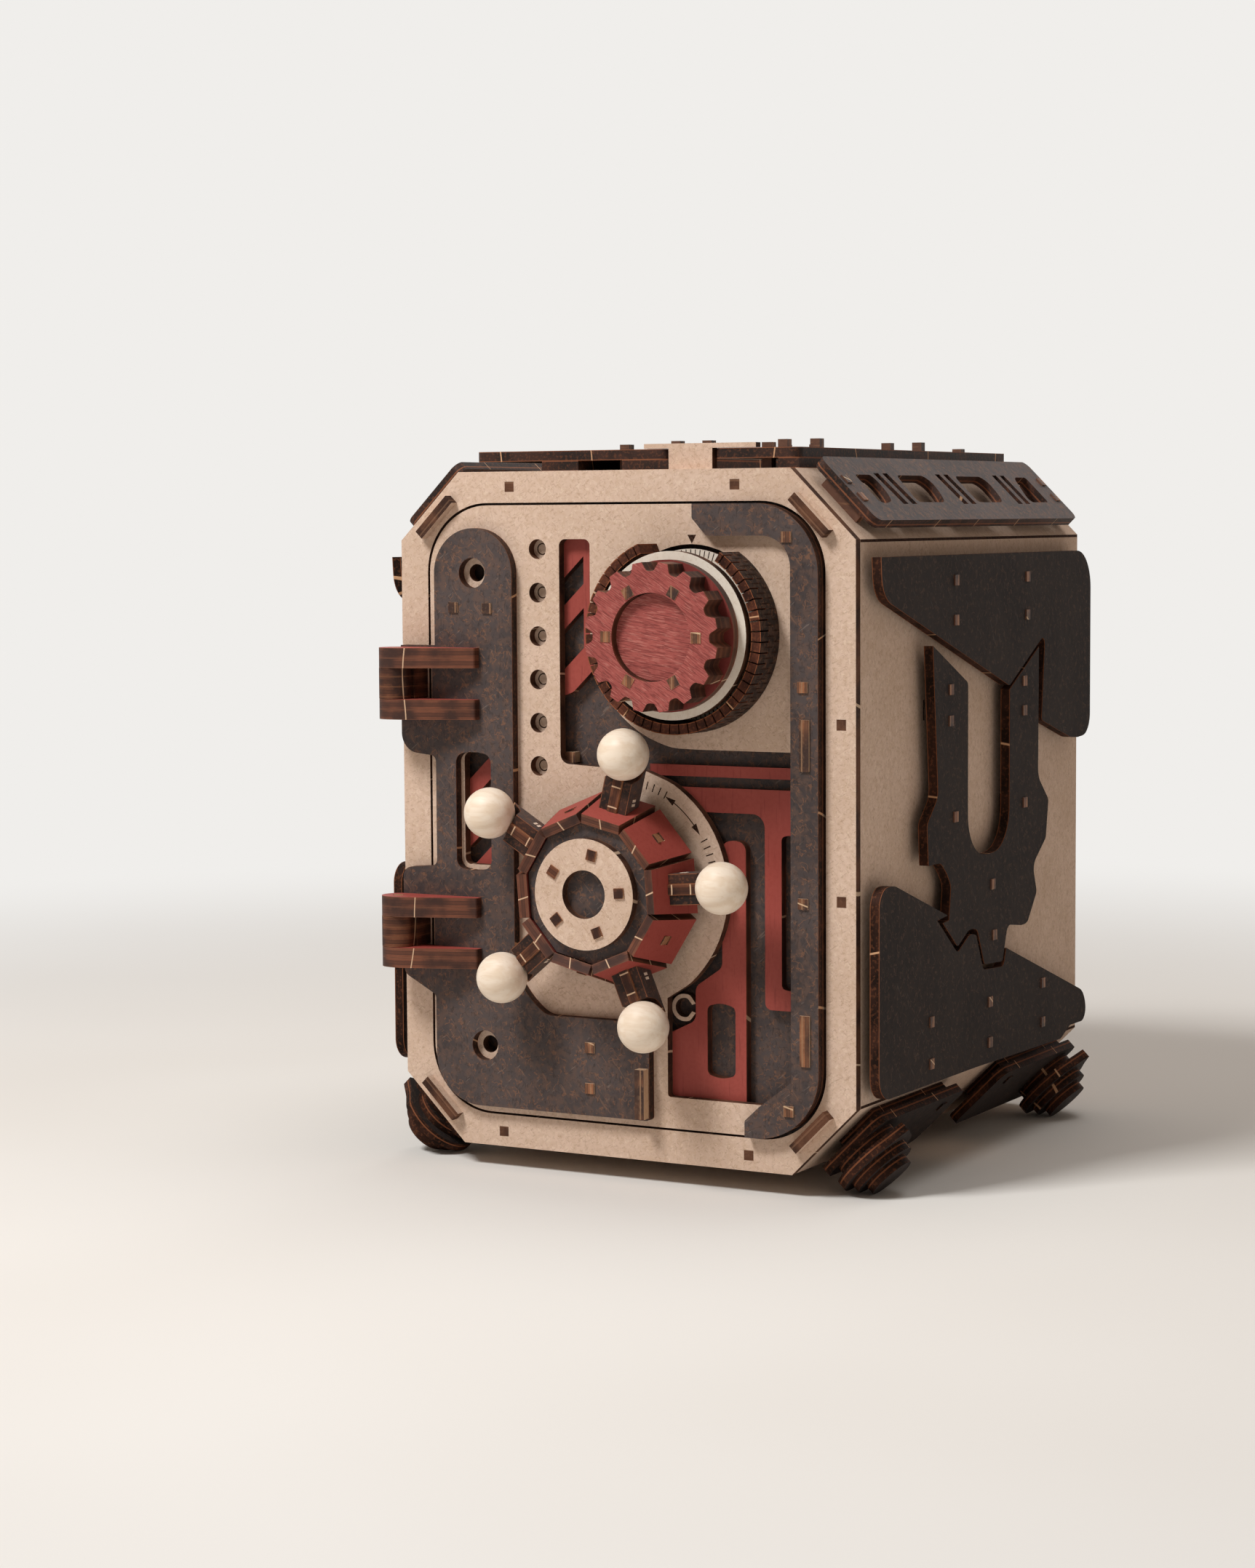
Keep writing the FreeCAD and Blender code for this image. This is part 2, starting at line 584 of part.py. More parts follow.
def wall_tabs():
    """Each wall's number and the outlines of its tab ends, seen from the front."""
    mid = 1.5 * SHEET
    slope = (CHAMFER / 2) + mid * math.sqrt(0.5)
    tabs = {
        0: [rect(sign * across(FLOOR_TAB_X), mid, TAB, SHEET) for sign in (-1, 1)],
        4: [rect(sign * across(ROOF_TAB_X), HEIGHT - mid, TAB, SHEET) for sign in (-1, 1)],
        2: [rect(HALF - mid, up(z), SHEET, TAB) for z in SIDE_TAB_Z],
        6: [rect(mid - HALF, up(z), SHEET, TAB) for z in SIDE_TAB_Z],
    }
    for k, sx, sz, turn in ((1, 1, -1, 45), (3, 1, 1, -45), (5, -1, 1, 45), (7, -1, -1, -45)):
        z = slope if sz < 0 else HEIGHT - slope
        tabs[k] = [rect(sx * (HALF - slope), z, CORNER_TAB, SHEET, turn)]
    return tabs


def walls():
    """The structural box walls with their tabs through the front frame and the back."""
    result = []
    for k, tabs in sorted(wall_tabs().items()):
        wall = strip(k, -2 * SHEET, -SHEET, SHEET, DEPTH - SHEET)
        proud = SHEET if k % 2 else 0
        for tab in tabs:
            wall = wall.fuse(sheet(front(-proud), tab, thick=SHEET + proud))
            wall = wall.fuse(sheet(front(DEPTH - SHEET), tab, thick=SHEET))
        result.append(wall.removeSplitter())
    return result


def skins():
    """The light outer layer of the eight case sides."""
    return [strip(k, -SHEET, 0, SHEET, DEPTH) for k in range(8)]


def opening(grow=0.0, r=OPENING_ROUND):
    """The door opening in the front frame, grown on every side."""
    return span(-OPEN_HALF - grow, OPEN_HALF + grow, FRAME_LOW - grow, OPEN_TOP + grow, r)


def case_frames():
    """The front frame, the stop frame behind it and the back panel."""
    holes = [tab for tabs in wall_tabs().values() for tab in tabs]
    frame = sheet(front(0), octagon(0), [opening()] + holes)
    stop = sheet(front(SHEET), octagon(-2 * SHEET), [opening(-STOP_LIP, OPENING_ROUND - STOP_LIP)])
    notches = [sheet(front(DEPTH - SHEET), hole) for hole in holes]
    back = sheet(front(DEPTH - SHEET), octagon(-SHEET)).cut(notches).removeSplitter()
    return frame, stop, back


def on_side(points):
    """Drawn side plate points on the actual depth and height."""
    return [(along(p[0]), up(p[1]), *p[2:]) for p in points]


def side_plate(sign, outline, mounts):
    """An ornament plate on one side, with the holes of its tab ends."""
    holes = []
    for y, low, high in mounts:
        holes += [rect(along(y), up(z), SHEET, TAB) for z in sorted({low, high})]
    return sheet(side(sign, SHEET), on_side(outline), holes)


def side_plates(sign):
    """The three ornament plates of one side; the middle one's teeth have room in the lower one."""
    upper = side_plate(sign, UPPER_PLATE, UPPER_MOUNTS)
    middle = side_plate(sign, MIDDLE_PLATE, MIDDLE_MOUNTS)
    lower = side_plate(sign, LOWER_PLATE, LOWER_MOUNTS)
    plane = side(sign, SHEET)
    room = wire(plane, on_side(MIDDLE_PLATE)).makeOffset2D(TOOTH_GAP, 2)
    lower = lower.cut(sheet(plane, room)).removeSplitter()
    return upper, middle, lower


def mount(plane, u, v_low, v_high):
    """A spacer on the skin with one or two tab ends through the plate above it."""
    half, tall = TAB / 2, 2 * SHEET + TAB_PROUD
    if v_low == v_high:
        outline = span(v_low - half, v_low + half, 0, tall)
    else:
        low, high = v_low - MOUNT_END, v_high + MOUNT_END
        outline = [(low, 0), (high, 0), (high, SHEET)]
        for v in (v_high, v_low):
            outline += [(v + half, SHEET), (v + half, tall), (v - half, tall), (v - half, SHEET)]
        outline.append((low, SHEET))
    return sheet(plane.section(u - SHEET / 2), outline)


def side_mounts(sign):
    """Every spacer of one side."""
    rows = UPPER_MOUNTS + MIDDLE_MOUNTS + LOWER_MOUNTS
    return [mount(side(sign, 0), along(y), up(low), up(high)) for y, low, high in rows]


def slanted(y_top, y_low):
    """A slanted slot across a louvre plate."""
    top, low = along(y_top), along(y_low)
    return [(top, SLOT_HALF), (low, -SLOT_HALF), (low + SLOT_WIDE, -SLOT_HALF), (top + SLOT_WIDE, SLOT_HALF)]


def louvre_tab_places():
    """The y of the tab ends in a louvre plate."""
    return [PLATE_MARGIN + LOUVRE_TAB_IN, DEPTH - PLATE_MARGIN - LOUVRE_TAB_IN]


def louvre(sx):
    """The dark plate on an upper chamfer, with its windows and slot pairs."""
    holes = [[(along(y), v * WINDOW_HALF, r) for y, v, r in points] for points in LOUVRE_WINDOWS]
    for top, low in LOUVRE_SLOTS:
        holes += [slanted(top, low), slanted(top + SLOT_STEP, low + SLOT_STEP)]
    holes += [rect(y, v, SHEET, TAB) for y in louvre_tab_places() for v in LOUVRE_TAB_UP]
    body = span(PLATE_MARGIN, DEPTH - PLATE_MARGIN, -LOUVRE_HALF, LOUVRE_HALF, PLATE_ROUND)
    return sheet(corner(sx, 1, SHEET), body, holes)


def louvre_mounts(sx):
    """The spacers under a louvre plate."""
    return [mount(corner(sx, 1, 0), y, *LOUVRE_TAB_UP) for y in louvre_tab_places()]


def feet(sx):
    """One side's two feet: base plates, drop plates, and the spacers and discs."""
    bases, drops, discs = [], [], []
    plane = corner(sx, -1, 0)
    far_start = DEPTH - PLATE_MARGIN - FOOT_PLATE_LONG
    for start, centre, lean in ((PLATE_MARGIN, FOOT_FROM_END, -1), (far_start, DEPTH - FOOT_FROM_END, 1)):
        end = start + FOOT_PLATE_LONG
        middle = (start + end) / 2
        tabs = [rect(middle + turn * FOOT_TAB, FOOT_TAB_UP, TAB, SHEET) for turn in (-1, 1)]
        outline = span(start, end, FOOT_PLATE_LOW, FOOT_PLATE_HIGH, FOOT_PLATE_ROUND)
        bases.append(sheet(plane.moved(SHEET), outline, tabs))
        spacer = block(plane, start + SPACER_INSET, end - SPACER_INSET, FOOT_SHIFT - SPACER_LOW,
                       FOOT_TAB_UP + SPACER_HIGH, 0, SHEET)
        discs.append(spacer.fuse([sheet(plane.moved(SHEET), tab, thick=SHEET + TAB_PROUD) for tab in tabs]))
        spot = (centre, FOOT_SHIFT)
        for layer, r in ((2, FOOT_MIDDLE), (4, FOOT_MIDDLE), (5, FOOT_END)):
            level = plane.moved(layer * SHEET)
            discs.append(sheet(level, circle(level, spot, r)))
        drops.append(foot_drop(plane.moved(3 * SHEET), spot, lean))
    return bases, drops, discs


def foot_drop(plane, spot, lean):
    """The round drop plate with its point up the slope, leaning to the nearer end of the case."""
    tip = (spot[0] + lean * FOOT_LEAN, FOOT_TIP, 0.8)
    a, b = [polar(spot, FOOT_OUT, turn) for turn in FOOT_SHOULDERS]
    return sheet(plane, [a, tip, b, Via(spot[0], spot[1] - FOOT_OUT)])


def roof_parts():
    """The two roof plates with the rails under them, and the pegs that hold them."""
    near, far = PLATE_MARGIN, DEPTH - PLATE_MARGIN
    places = [(across(x), along(y), proud) for y, row, proud in ROOF_PEGS for x in row]
    plates, pegs = [], []
    for x0, x1 in ROOF_PLATES:
        holes = [rect(x, y, TAB, SHEET) for x, y, _ in places if across(x0) < x < across(x1)]
        outline = span(across(x0), across(x1), near, far, PLATE_ROUND)
        plates.append(sheet(flat(HEIGHT + SHEET), outline, holes))
    for x0, x1 in ROOF_RAILS:
        plates.append(block(flat(HEIGHT), across(x0), across(x1), near, far, 0, SHEET))
    for x, y, proud in places:
        on_rail = any(across(x0) < x < across(x1) for x0, x1 in ROOF_RAILS)
        foot = HEIGHT + SHEET if on_rail else HEIGHT
        top = HEIGHT + 2 * SHEET + proud
        pegs.append(sheet(flat(foot), rect(x, y, TAB, SHEET), thick=top - foot))
    return plates, pegs


def top_crest():
    """The light upright between the roof plates: its foot on the roof, its bar over the plates."""
    bar = HEIGHT + 2 * SHEET + CREST_LIFT
    top = HEIGHT + CREST_TALL
    left, right = across(ROOF_PLATES[0][1]) + CREST_PLAY, across(ROOF_PLATES[1][0]) - CREST_PLAY
    bar_left, bar_right = across(CREST_BAR[0]), across(CREST_BAR[1])
    outline = [(left, HEIGHT), (right, HEIGHT), (right, bar), (bar_right, bar), (bar_right, top),
               (bar_left, top), (bar_left, bar), (left, bar)]
    return sheet(front(PLATE_MARGIN), outline)


def hinge_levels():
    """Lower and upper z of each knuckle."""
    half = KNUCKLE_HEIGHT / 2
    return [(up(z) - half, up(z) + half) for z in (LOWER_HINGE, UPPER_HINGE)]


def arm_outline():
    """A hinge arm from above: round about the pin, tapering onto the door's trim."""
    end = PIN[0] + ARM_REACH
    r = HINGE_ROUND
    return [polar(PIN, r, 270), (PIN[0] + ARM_SHOULDER, PIN[1] - r, 6), (end, TRIM_FRONT - ARM_TIP, 1),
            (end, TRIM_FRONT), (PIN[0] + ARM_HEEL, TRIM_FRONT), Via(*polar(PIN, r, 178))]


def knuckle_outline():
    """A knuckle from above: a block on the frame, round about the pin."""
    left, right = -HALF, PIN[0] + HINGE_ROUND + 1
    return [(left, 0), (right, 0), (right, PIN[1] + 1), polar(PIN, HINGE_ROUND, 20),
            Via(*polar(PIN, HINGE_ROUND, 270)), polar(PIN, HINGE_ROUND, 182), (left, PIN[1] + 4)]


def hinge_arms():
    """Two layers of arm above and below each knuckle."""
    arms = []
    for low, high in hinge_levels():
        for z in (high, high + SHEET, low - 2 * SHEET, low - SHEET):
            plane = flat(z)
            arms.append(sheet(plane, arm_outline(), [circle(plane, PIN, PIN_RADIUS + HINGE_FIT, True)]))
    return arms


def hinge_knuckles():
    """The case's half of the hinges, in layers round the pins."""
    knuckles = []
    for low, high in hinge_levels():
        tall = (high - low - 2 * HINGE_PLAY) / KNUCKLE_LAYERS
        for layer in range(KNUCKLE_LAYERS):
            plane = flat(low + HINGE_PLAY + layer * tall)
            knuckles.append(sheet(plane, knuckle_outline(), [circle(plane, PIN, PIN_RADIUS, True)], tall))
    return knuckles


def hinge_pins():
    """The two pins, as long as a knuckle and its four arm layers."""
    ends = 2 * SHEET
    return [Part.makeCylinder(PIN_RADIUS, high - low + 2 * ends, V(*PIN, low - ends))
            for low, high in hinge_levels()]


def on_door(points):
    """Drawn door points on the actual width and height."""
    return [(across(p[0]), up(p[1]), *p[2:]) for p in points]


def door_span(x0, x1, z0, z1, r=0.0):
    """A drawn rectangle on the door."""
    return span(across(x0), across(x1), up(z0), up(z1), r)


def trim_tab_holes(test):
    """The outlines of the square tab ends whose x passes the test."""
    places = [(across(x), up(z)) for x, z in TRIM_TABS]
    places.append((across(UPPER_CORNER_TAB[0]), DOOR_TOP - UPPER_CORNER_TAB[1]))
    places.append((across(LOWER_CORNER_TAB[0]), DOOR_LOW + LOWER_CORNER_TAB[1]))
    return [rect(x, z, TAB, TAB) for x, z in places if test(x)]


def long_tab_holes():
    """The outlines of the long tab ends in the lock trim."""
    return [rect(across(x), up(z), SHEET, LONG_TAB) for x, z in LONG_TABS]


def floor_tab_hole():
    """The outline of the long tab end in the hinge trim's foot."""
    z = up(HINGE_TRIM_LOW) + FLOOR_LONG_TAB_EDGE + LONG_TAB / 2
    return rect(across(FLOOR_LONG_TAB_X), z, SHEET, LONG_TAB)


def door_window():
    """The one connected window: a left channel, a band between the two round forms and a leg on the right."""
    left = DIAL[0] - DIAL_ISLAND - CHANNEL
    right = DOOR_HALF - WINDOW_EDGE
    top, band, low = DOOR_TOP - WINDOW_DROP, up(WINDOW_BAND), DOOR_LOW + WINDOW_RISE
    ledge = across(WINDOW_LEDGE)
    drop = min((DIAL[1] - band) / DIAL_ISLAND, 1.0)
    island_turn = -math.degrees(math.asin(drop))
    ring_low = -math.degrees(math.acos((ledge - WHEEL[0]) / RING_PLATE))
    start = polar(DIAL, DIAL_ISLAND, 180)
    return [(left, top, 2), (start[0], top, 2), start,
            Via(*polar(DIAL, DIAL_ISLAND, (540 + island_turn) / 2)), polar(DIAL, DIAL_ISLAND, island_turn),
            (right, band, 1.5), (right, low, 8), (ledge, low, 1), polar(WHEEL, RING_PLATE, ring_low),
            Via(*polar(WHEEL, RING_PLATE, (ring_low + RING_TOP_TURN) / 2)),
            polar(WHEEL, RING_PLATE, RING_TOP_TURN), (left, up(CHANNEL_FOOT), 3)]


def blind_hole_levels():
    """The height of each blind hole, from the highest down."""
    return [DOOR_TOP - BLIND_HOLE_DROP - i * BLIND_HOLE_PITCH for i in range(BLIND_HOLES)]


def door_leaf():
    """The light leaf with its holes and windows."""
    plane = front(LEAF_FRONT)
    holes = [circle(plane, (across(BLIND_HOLE_X), z), HOLE_RADIUS) for z in blind_hole_levels()]
    holes += [circle(plane, (across(x), up(z)), RIVET_RADIUS) for x, z in RIVET_HOLES]
    holes += trim_tab_holes(lambda x: True)
    holes.append(circle(plane, DIAL, DIAL_HOLE))
    holes.append(circle(plane, WHEEL, WHEEL_SHAFT + SHAFT_FIT, True))
    x0, x1, z0, z1 = HINGE_WINDOW
    holes.append(span(across(x0) + WINDOW_STEP, across(x1), up(z0) + WINDOW_STEP, up(z1), 2))
    holes.append(door_window())
    outline = span(-DOOR_HALF, DOOR_HALF, DOOR_LOW, DOOR_TOP, DOOR_ROUND)
    return sheet(plane, outline, holes)


def hinge_trim():
    """The dark plate on the hinge side, with the lugs that the arms sit on."""
    plane = front(TRIM_FRONT)
    (low_a, low_b), (high_a, high_b) = hinge_levels()
    lug = PIN[0] - LUG_REACH
    inset = PIN[0] + LUG_INSET
    left, right = across(HINGE_TRIM_LEFT), across(HINGE_TRIM_RIGHT)
    shoulder, step, low = up(HINGE_TRIM_SHOULDER), up(HINGE_TRIM_STEP), up(HINGE_TRIM_LOW)
    crown = Via((left + right) / 2, shoulder + (right - left) / 2)
    foot_left = left - HINGE_TRIM_FLARE
    foot_right = across(HINGE_TRIM_FOOT)
    arm = 2 * SHEET
    play = LUG_PLAY
    cap = high_b + arm + LUG_CAP
    outline = [(left, shoulder), crown, (right, shoulder), (right, up(HINGE_TRIM_WAIST), 10),
               (across(HINGE_TRIM_BEND), step, 8), (foot_right, step, 1), (foot_right, low, 1),
               (foot_left, low, 15), (foot_left, low_a - arm - LUG_LOW[0], 2),
               (lug, low_a - arm - LUG_LOW[1], 3), (lug, low_a - play), (inset, low_a - play),
               (inset, low_b + play), (lug, low_b + play),
               (lug, low_b + LUG_MIDDLE_LOW[0], 3), (left, low_b + LUG_MIDDLE_LOW[1], 2),
               (left, high_a - LUG_MIDDLE_HIGH[0], 2), (lug, high_a - arm - LUG_MIDDLE_HIGH[1], 6),
               (lug, high_a - play), (inset, high_a - play), (inset, high_b + play), (lug, high_b + play),
               (lug, cap), (left, cap)]
    holes = [circle(plane, (across(x), up(z)), RIVET_ROOM) for x, z in RIVET_HOLES]
    holes += trim_tab_holes(lambda x: x < 0)
    holes += [door_span(*HINGE_WINDOW, 3), floor_tab_hole()]
    return sheet(plane, outline, holes)


def lock_trim():
    """The dark plate on the lock side, along the door's rounded edge."""
    right = DOOR_HALF
    inner = right - WINDOW_EDGE + LOCK_TRIM_INNER
    head, head_step = [across(x) for x in LOCK_TRIM_HEAD]
    foot, foot_step = [across(x) for x in LOCK_TRIM_FOOT]
    rise = [DOOR_LOW + z for z in LOCK_TRIM_RISE]
    drop = [DOOR_TOP - z for z in LOCK_TRIM_DROP]
    outline = [(head, DOOR_TOP), (right, DOOR_TOP, DOOR_ROUND), (right, DOOR_LOW, DOOR_ROUND),
               (foot, DOOR_LOW), (foot, rise[0], 1), (foot_step, rise[1], 2),
               (inner - LOCK_TRIM_BEVEL, rise[2], 2),
               (inner, rise[3], 1), (inner, drop[0], 9), (head_step, drop[0], 1), (head, drop[1], 1)]
    return sheet(front(TRIM_FRONT), outline, trim_tab_holes(lambda x: x > 0) + long_tab_holes())


def trim_tabs():
    """The pegs that hold the trims, the long tab ends that stand out of them and the peg in the channel."""
    depth = 2 * SHEET + TAB_PROUD
    pegs = [sheet(front(TRIM_FRONT - TAB_PROUD), tab, thick=depth) for tab in trim_tab_holes(lambda x: True)]
    for tab in long_tab_holes():
        pegs.append(sheet(front(TRIM_FRONT - LONG_TAB_PROUD), tab, thick=SHEET + LONG_TAB_PROUD))
    pegs.append(sheet(front(TRIM_FRONT - SHEET), floor_tab_hole(), thick=2 * SHEET))
    pegs.append(sheet(front(LEAF_BACK), rect(across(WINDOW_PEG[0]), up(WINDOW_PEG[1]), TAB, TAB)))
    return pegs


def hole_strip():
    """The light strip behind the row of blind holes."""
    x = across(BLIND_HOLE_X)
    low, high = min(blind_hole_levels()) - STRIP_END, max(blind_hole_levels()) + STRIP_END
    return sheet(front(LEAF_BACK), span(x - STRIP_EDGE, x + STRIP_EDGE, low, high))


def hook_plate():
    """The red plate whose band runs over the slot plate and down the right side."""
    low, high = HOOK_BAND
    left, right = HOOK_LEG
    outline = on_door([(HOOK_LEFT, high), (right, high, 2), (right, HOOK_FOOT, 2), (left, HOOK_FOOT, 2),
                       (left, low, 4), (HOOK_LEFT, low, 1)])
    return sheet(front(LEAF_BACK), outline, [door_span(*HOOK_SLOT, 1.5)])


def slot_plate():
    """The red plate in the lower leg of the window, with its own slot."""
    return sheet(front(LEAF_BACK), on_door(SLOT_PLATE), [door_span(*SLOT_PLATE_SLOT, 2)])


def thin_bar():
    """The thin red bar along the window's band."""
    return sheet(front(LEAF_BACK), door_span(*THIN_BAR))


def bar_slots(start, left, right, slots):
    """Slanted slots between two drawn x; their heights are given at start."""
    rise = math.tan(math.radians(STRIPE_SLOPE))
    result = []
    for low, high in slots:
        a, b = (left - start) * rise, (right - start) * rise
        result.append(on_door([(left, low + a), (right, low + b), (right, high + b), (left, high + a)]))
    return result


def stripe_plates():
    """The two red plates behind the channel and the hinge window, cut into slanting bars."""
    rise = math.tan(math.radians(STRIPE_SLOPE))
    left, right, top = CHANNEL_PLATE
    foot = CHANNEL_PLATE_LOW
    bend_x = CHANNEL_LEFT + 2
    channel = on_door([(left, top, 2), (left, foot - 1, 1), (bend_x, foot, 4),
                       (right, foot + (right - bend_x) * rise), (right, top, 2)])
    channel_slots = bar_slots(CHANNEL_LEFT, left + 1.5, CHANNEL_RAIL, CHANNEL_SLOTS)
    left, right, low, top = WINDOW_PLATE
    cut = WINDOW_PLATE_CUT
    window = on_door([(left, cut, 1.5), (left, low), (right, low, 2), (right, top, 2),
                      (left + (top - cut) / rise, top)])
    window_slots = bar_slots(left, left - 1, WINDOW_RAIL, WINDOW_SLOTS)
    plane = front(LEAF_BACK)
    window_plate = sheet(plane, window).cut([sheet(plane, slot) for slot in window_slots])
    return [sheet(plane, channel, channel_slots), window_plate.removeSplitter()]


def peg_ring():
    """The small pale ring, open at one side."""
    spot = (across(PEG[0]), up(PEG[1]))
    a, b = polar(spot, PEG_OUTER, PEG_GAP), polar(spot, PEG_INNER, PEG_GAP)
    c, d = polar(spot, PEG_INNER, -PEG_GAP), polar(spot, PEG_OUTER, -PEG_GAP)
    outline = [a, Via(*polar(spot, PEG_OUTER, 180)), d, c, Via(*polar(spot, PEG_INNER, 180)), b]
    return sheet(front(LEAF_BACK), outline)


def shaft_bores(plane):
    """Running bores for both shafts."""
    shafts = ((WHEEL, WHEEL_SHAFT), (DIAL, DIAL_SHAFT))
    return [circle(plane, centre, r + SHAFT_FIT, True) for centre, r in shafts]


def door_back_plate():
    """The dark plate behind the red ones."""
    plane = front(RED_BACK)
    half = DOOR_HALF - BACK_MARGIN
    low, top = DOOR_LOW + BACK_MARGIN_END, DOOR_TOP - BACK_MARGIN_END
    outline = span(-half, half, low, top, DOOR_ROUND - BACK_MARGIN)
    return sheet(plane, outline, shaft_bores(plane))


def dial_guard():
    """The strip bent round the dial, with the kerf cuts in its front edge."""
    start = LEAF_FRONT - GUARD_DEPTH
    outer = GUARD_INNER + GUARD_WALL
    a, b = GUARD_OPEN_TO, GUARD_OPEN_FROM + 360
    middle = (a + b) / 2
    points = [polar(DIAL, outer, a), Via(*polar(DIAL, outer, middle)), polar(DIAL, outer, b)]
    inner_middle = Via(*polar(DIAL, GUARD_INNER, middle))
    points += [polar(DIAL, GUARD_INNER, b), inner_middle, polar(DIAL, GUARD_INNER, a)]
    body = sheet(front(start), points, thick=GUARD_DEPTH)
    half = CUT_WIDTH / 2
    cuts = []
    for i in range(GUARD_CUTS):
        plane = radial(DIAL, a + (b - a) * (i + 0.5) / GUARD_CUTS)
        floor = start + GUARD_DEPTH * CUT_REACH
        cuts.append(block(plane, GUARD_INNER - 1, outer + 1, start - 1, floor, -half, half))
    return body.cut(cuts)


def bolt_levels():
    """The height of each bolt."""
    return [up(z) for z in BOLT_LEVELS]


def lock_outline(inside):
    """The lock walls' outline, moved inwards."""
    half = WALL_OUT - inside
    return span(-half, half, WALL_LOW + inside, WALL_TOP - inside, WALL_ROUND - inside)


def lock_walls():
    """Four walls behind the door plate, with slots for the bolts."""
    body = sheet(front(PLATE_BACK), lock_outline(0), [lock_outline(SHEET)], LOCK_DEPTH)
    half = BOLT_HEIGHT / 2 + BOLT_PLAY
    for z in bolt_levels():
        slot = block(side(1, 0), PLATE_BACK, BAR_BACK + BOLT_PLAY, z - half, z + half, -HALF / 2, 0)
        body = body.cut(slot)
    return body


def lock_cover():
    """The cover on the lock walls."""
    plane = front(COVER_FRONT)
    return sheet(plane, lock_outline(0), shaft_bores(plane))


def rail(x0, x1, z, toward):
    """An L-section guide: a foot beside the bar and a lip over it."""
    foot = sorted((z, z + toward * RAIL))
    lip = sorted((z - toward * RAIL_LIP, z + toward * RAIL))
    plane = front(PLATE_BACK)
    tall = BAR_DEPTH + 2 * BOLT_PLAY
    body = sheet(plane, span(x0, x1, *foot), thick=tall)
    over = sheet(plane.moved(tall), span(x0, x1, *lip))
    return body.fuse(over).removeSplitter()


def bolt_guides():
    """Guides below the rack arm, and above and below the bar's ends."""
    low, high = bar_ends()
    left, right = BAR_LEFT - RAIL, BAR_LEFT + BAR_WIDTH + RAIL
    rack_low = RACK_BASE - RACK_TALL - BOLT_PLAY
    return [rail(RACK_LEFT + RACK_RAIL_START, BAR_LEFT - RACK_RAIL_END, rack_low, -1),
            rail(left, right, low - BOLT_PLAY, -1), rail(left, right, high + BOLT_PLAY, 1)]


def bar_ends():
    """Lower and upper end of the bolt bar."""
    levels = bolt_levels()
    return levels[0] - BAR_END, levels[-1] + BAR_END


def bearing_rings():
    """Fixed rings round the shafts: on the leaf behind the handwheel, and behind the scale disc."""
    wheel_bore = WHEEL_SHAFT + SHAFT_FIT
    return [bored(TRIM_FRONT, WHEEL, WHEEL_BEARING, wheel_bore),
            bored(LEAF_BACK, WHEEL, WHEEL_BEARING, wheel_bore),
            bored(LEAF_BACK, DIAL, DIAL_BEARING, DIAL_SHAFT + SHAFT_FIT)]


def pinion():
    """A spur pinion with involute flanks, a tooth pointing down into the rack."""
    base = PITCH * math.cos(math.radians(PRESSURE))
    tip = PITCH + PINION_ADDENDUM * MODULE
    root = PITCH - DEDENDUM * MODULE

    def involute(r):
        """How far an involute has turned at radius r."""
        x = math.sqrt(max(r * r / (base * base) - 1, 0))
        return x - math.atan(x)

    half = (math.pi * MODULE / 2 - 2 * TOOTH_PLAY) / 2 / PITCH + involute(PITCH)
    points = []
    for i in range(PINION_TEETH):
        middle = -math.pi / 2 + i * 2 * math.pi / PINION_TEETH
        radii = [max(base, root), PITCH, (PITCH + tip) / 2, tip]
        rise = [(r, middle - half + involute(r)) for r in radii]
        fall = [(r, middle + half - involute(r)) for r in reversed(radii)]
        for r, a in [(root, middle - half)] + rise + fall + [(root, middle + half)]:
            points.append((WHEEL[0] + r * math.cos(a), WHEEL[1] + r * math.sin(a)))
    plane = front(BAR_FRONT + PINION_PLAY)
    return sheet(plane, points, [circle(plane, WHEEL, WHEEL_SHAFT, True)], BAR_DEPTH - 2 * PINION_PLAY)


def rack_teeth():
    """The rack's teeth from left to right, each as its four points."""
    pitch = math.pi * MODULE
    lean = math.tan(math.radians(PRESSURE))
    half = pitch / 4 - TOOTH_PLAY
    foot = half + DEDENDUM * MODULE * lean
    crest = half - RACK_ADDENDUM * lean
    tip = RACK_LINE + RACK_ADDENDUM
    teeth = []
    for i in range(-int(RACK_REACH / pitch), RACK_TEETH_RIGHT):
        x = WHEEL[0] + (i + 0.5) * pitch
        teeth.append([(x - foot, RACK_BASE), (x - crest, tip), (x + crest, tip), (x + foot, RACK_BASE)])
    return teeth


def bolt_bar():
    """The upright bar with its toothed arm."""
    low, high = bar_ends()
    right = BAR_LEFT + BAR_WIDTH
    points = [(BAR_LEFT, low), (right, low), (right, high), (BAR_LEFT, high), (BAR_LEFT, RACK_BASE)]
    for tooth in reversed(rack_teeth()):
        points += list(reversed(tooth))
    arm_low = RACK_BASE - RACK_TALL
    points += [(RACK_LEFT, RACK_BASE), (RACK_LEFT, arm_low), (BAR_LEFT, arm_low)]
    return sheet(front(BAR_FRONT), points, thick=BAR_DEPTH)


def bolts():
    """The three bolts on the bar."""
    root = BAR_LEFT + BAR_WIDTH
    half = BOLT_HEIGHT / 2
    result = []
    for z in bolt_levels():
        outline = [(root, z - half), (BOLT_TIP, z - half, BOLT_ROUND), (BOLT_TIP, z + half, BOLT_ROUND),
                   (root, z + half)]
        result.append(sheet(front(BAR_FRONT), outline, thick=BAR_DEPTH))
    return result


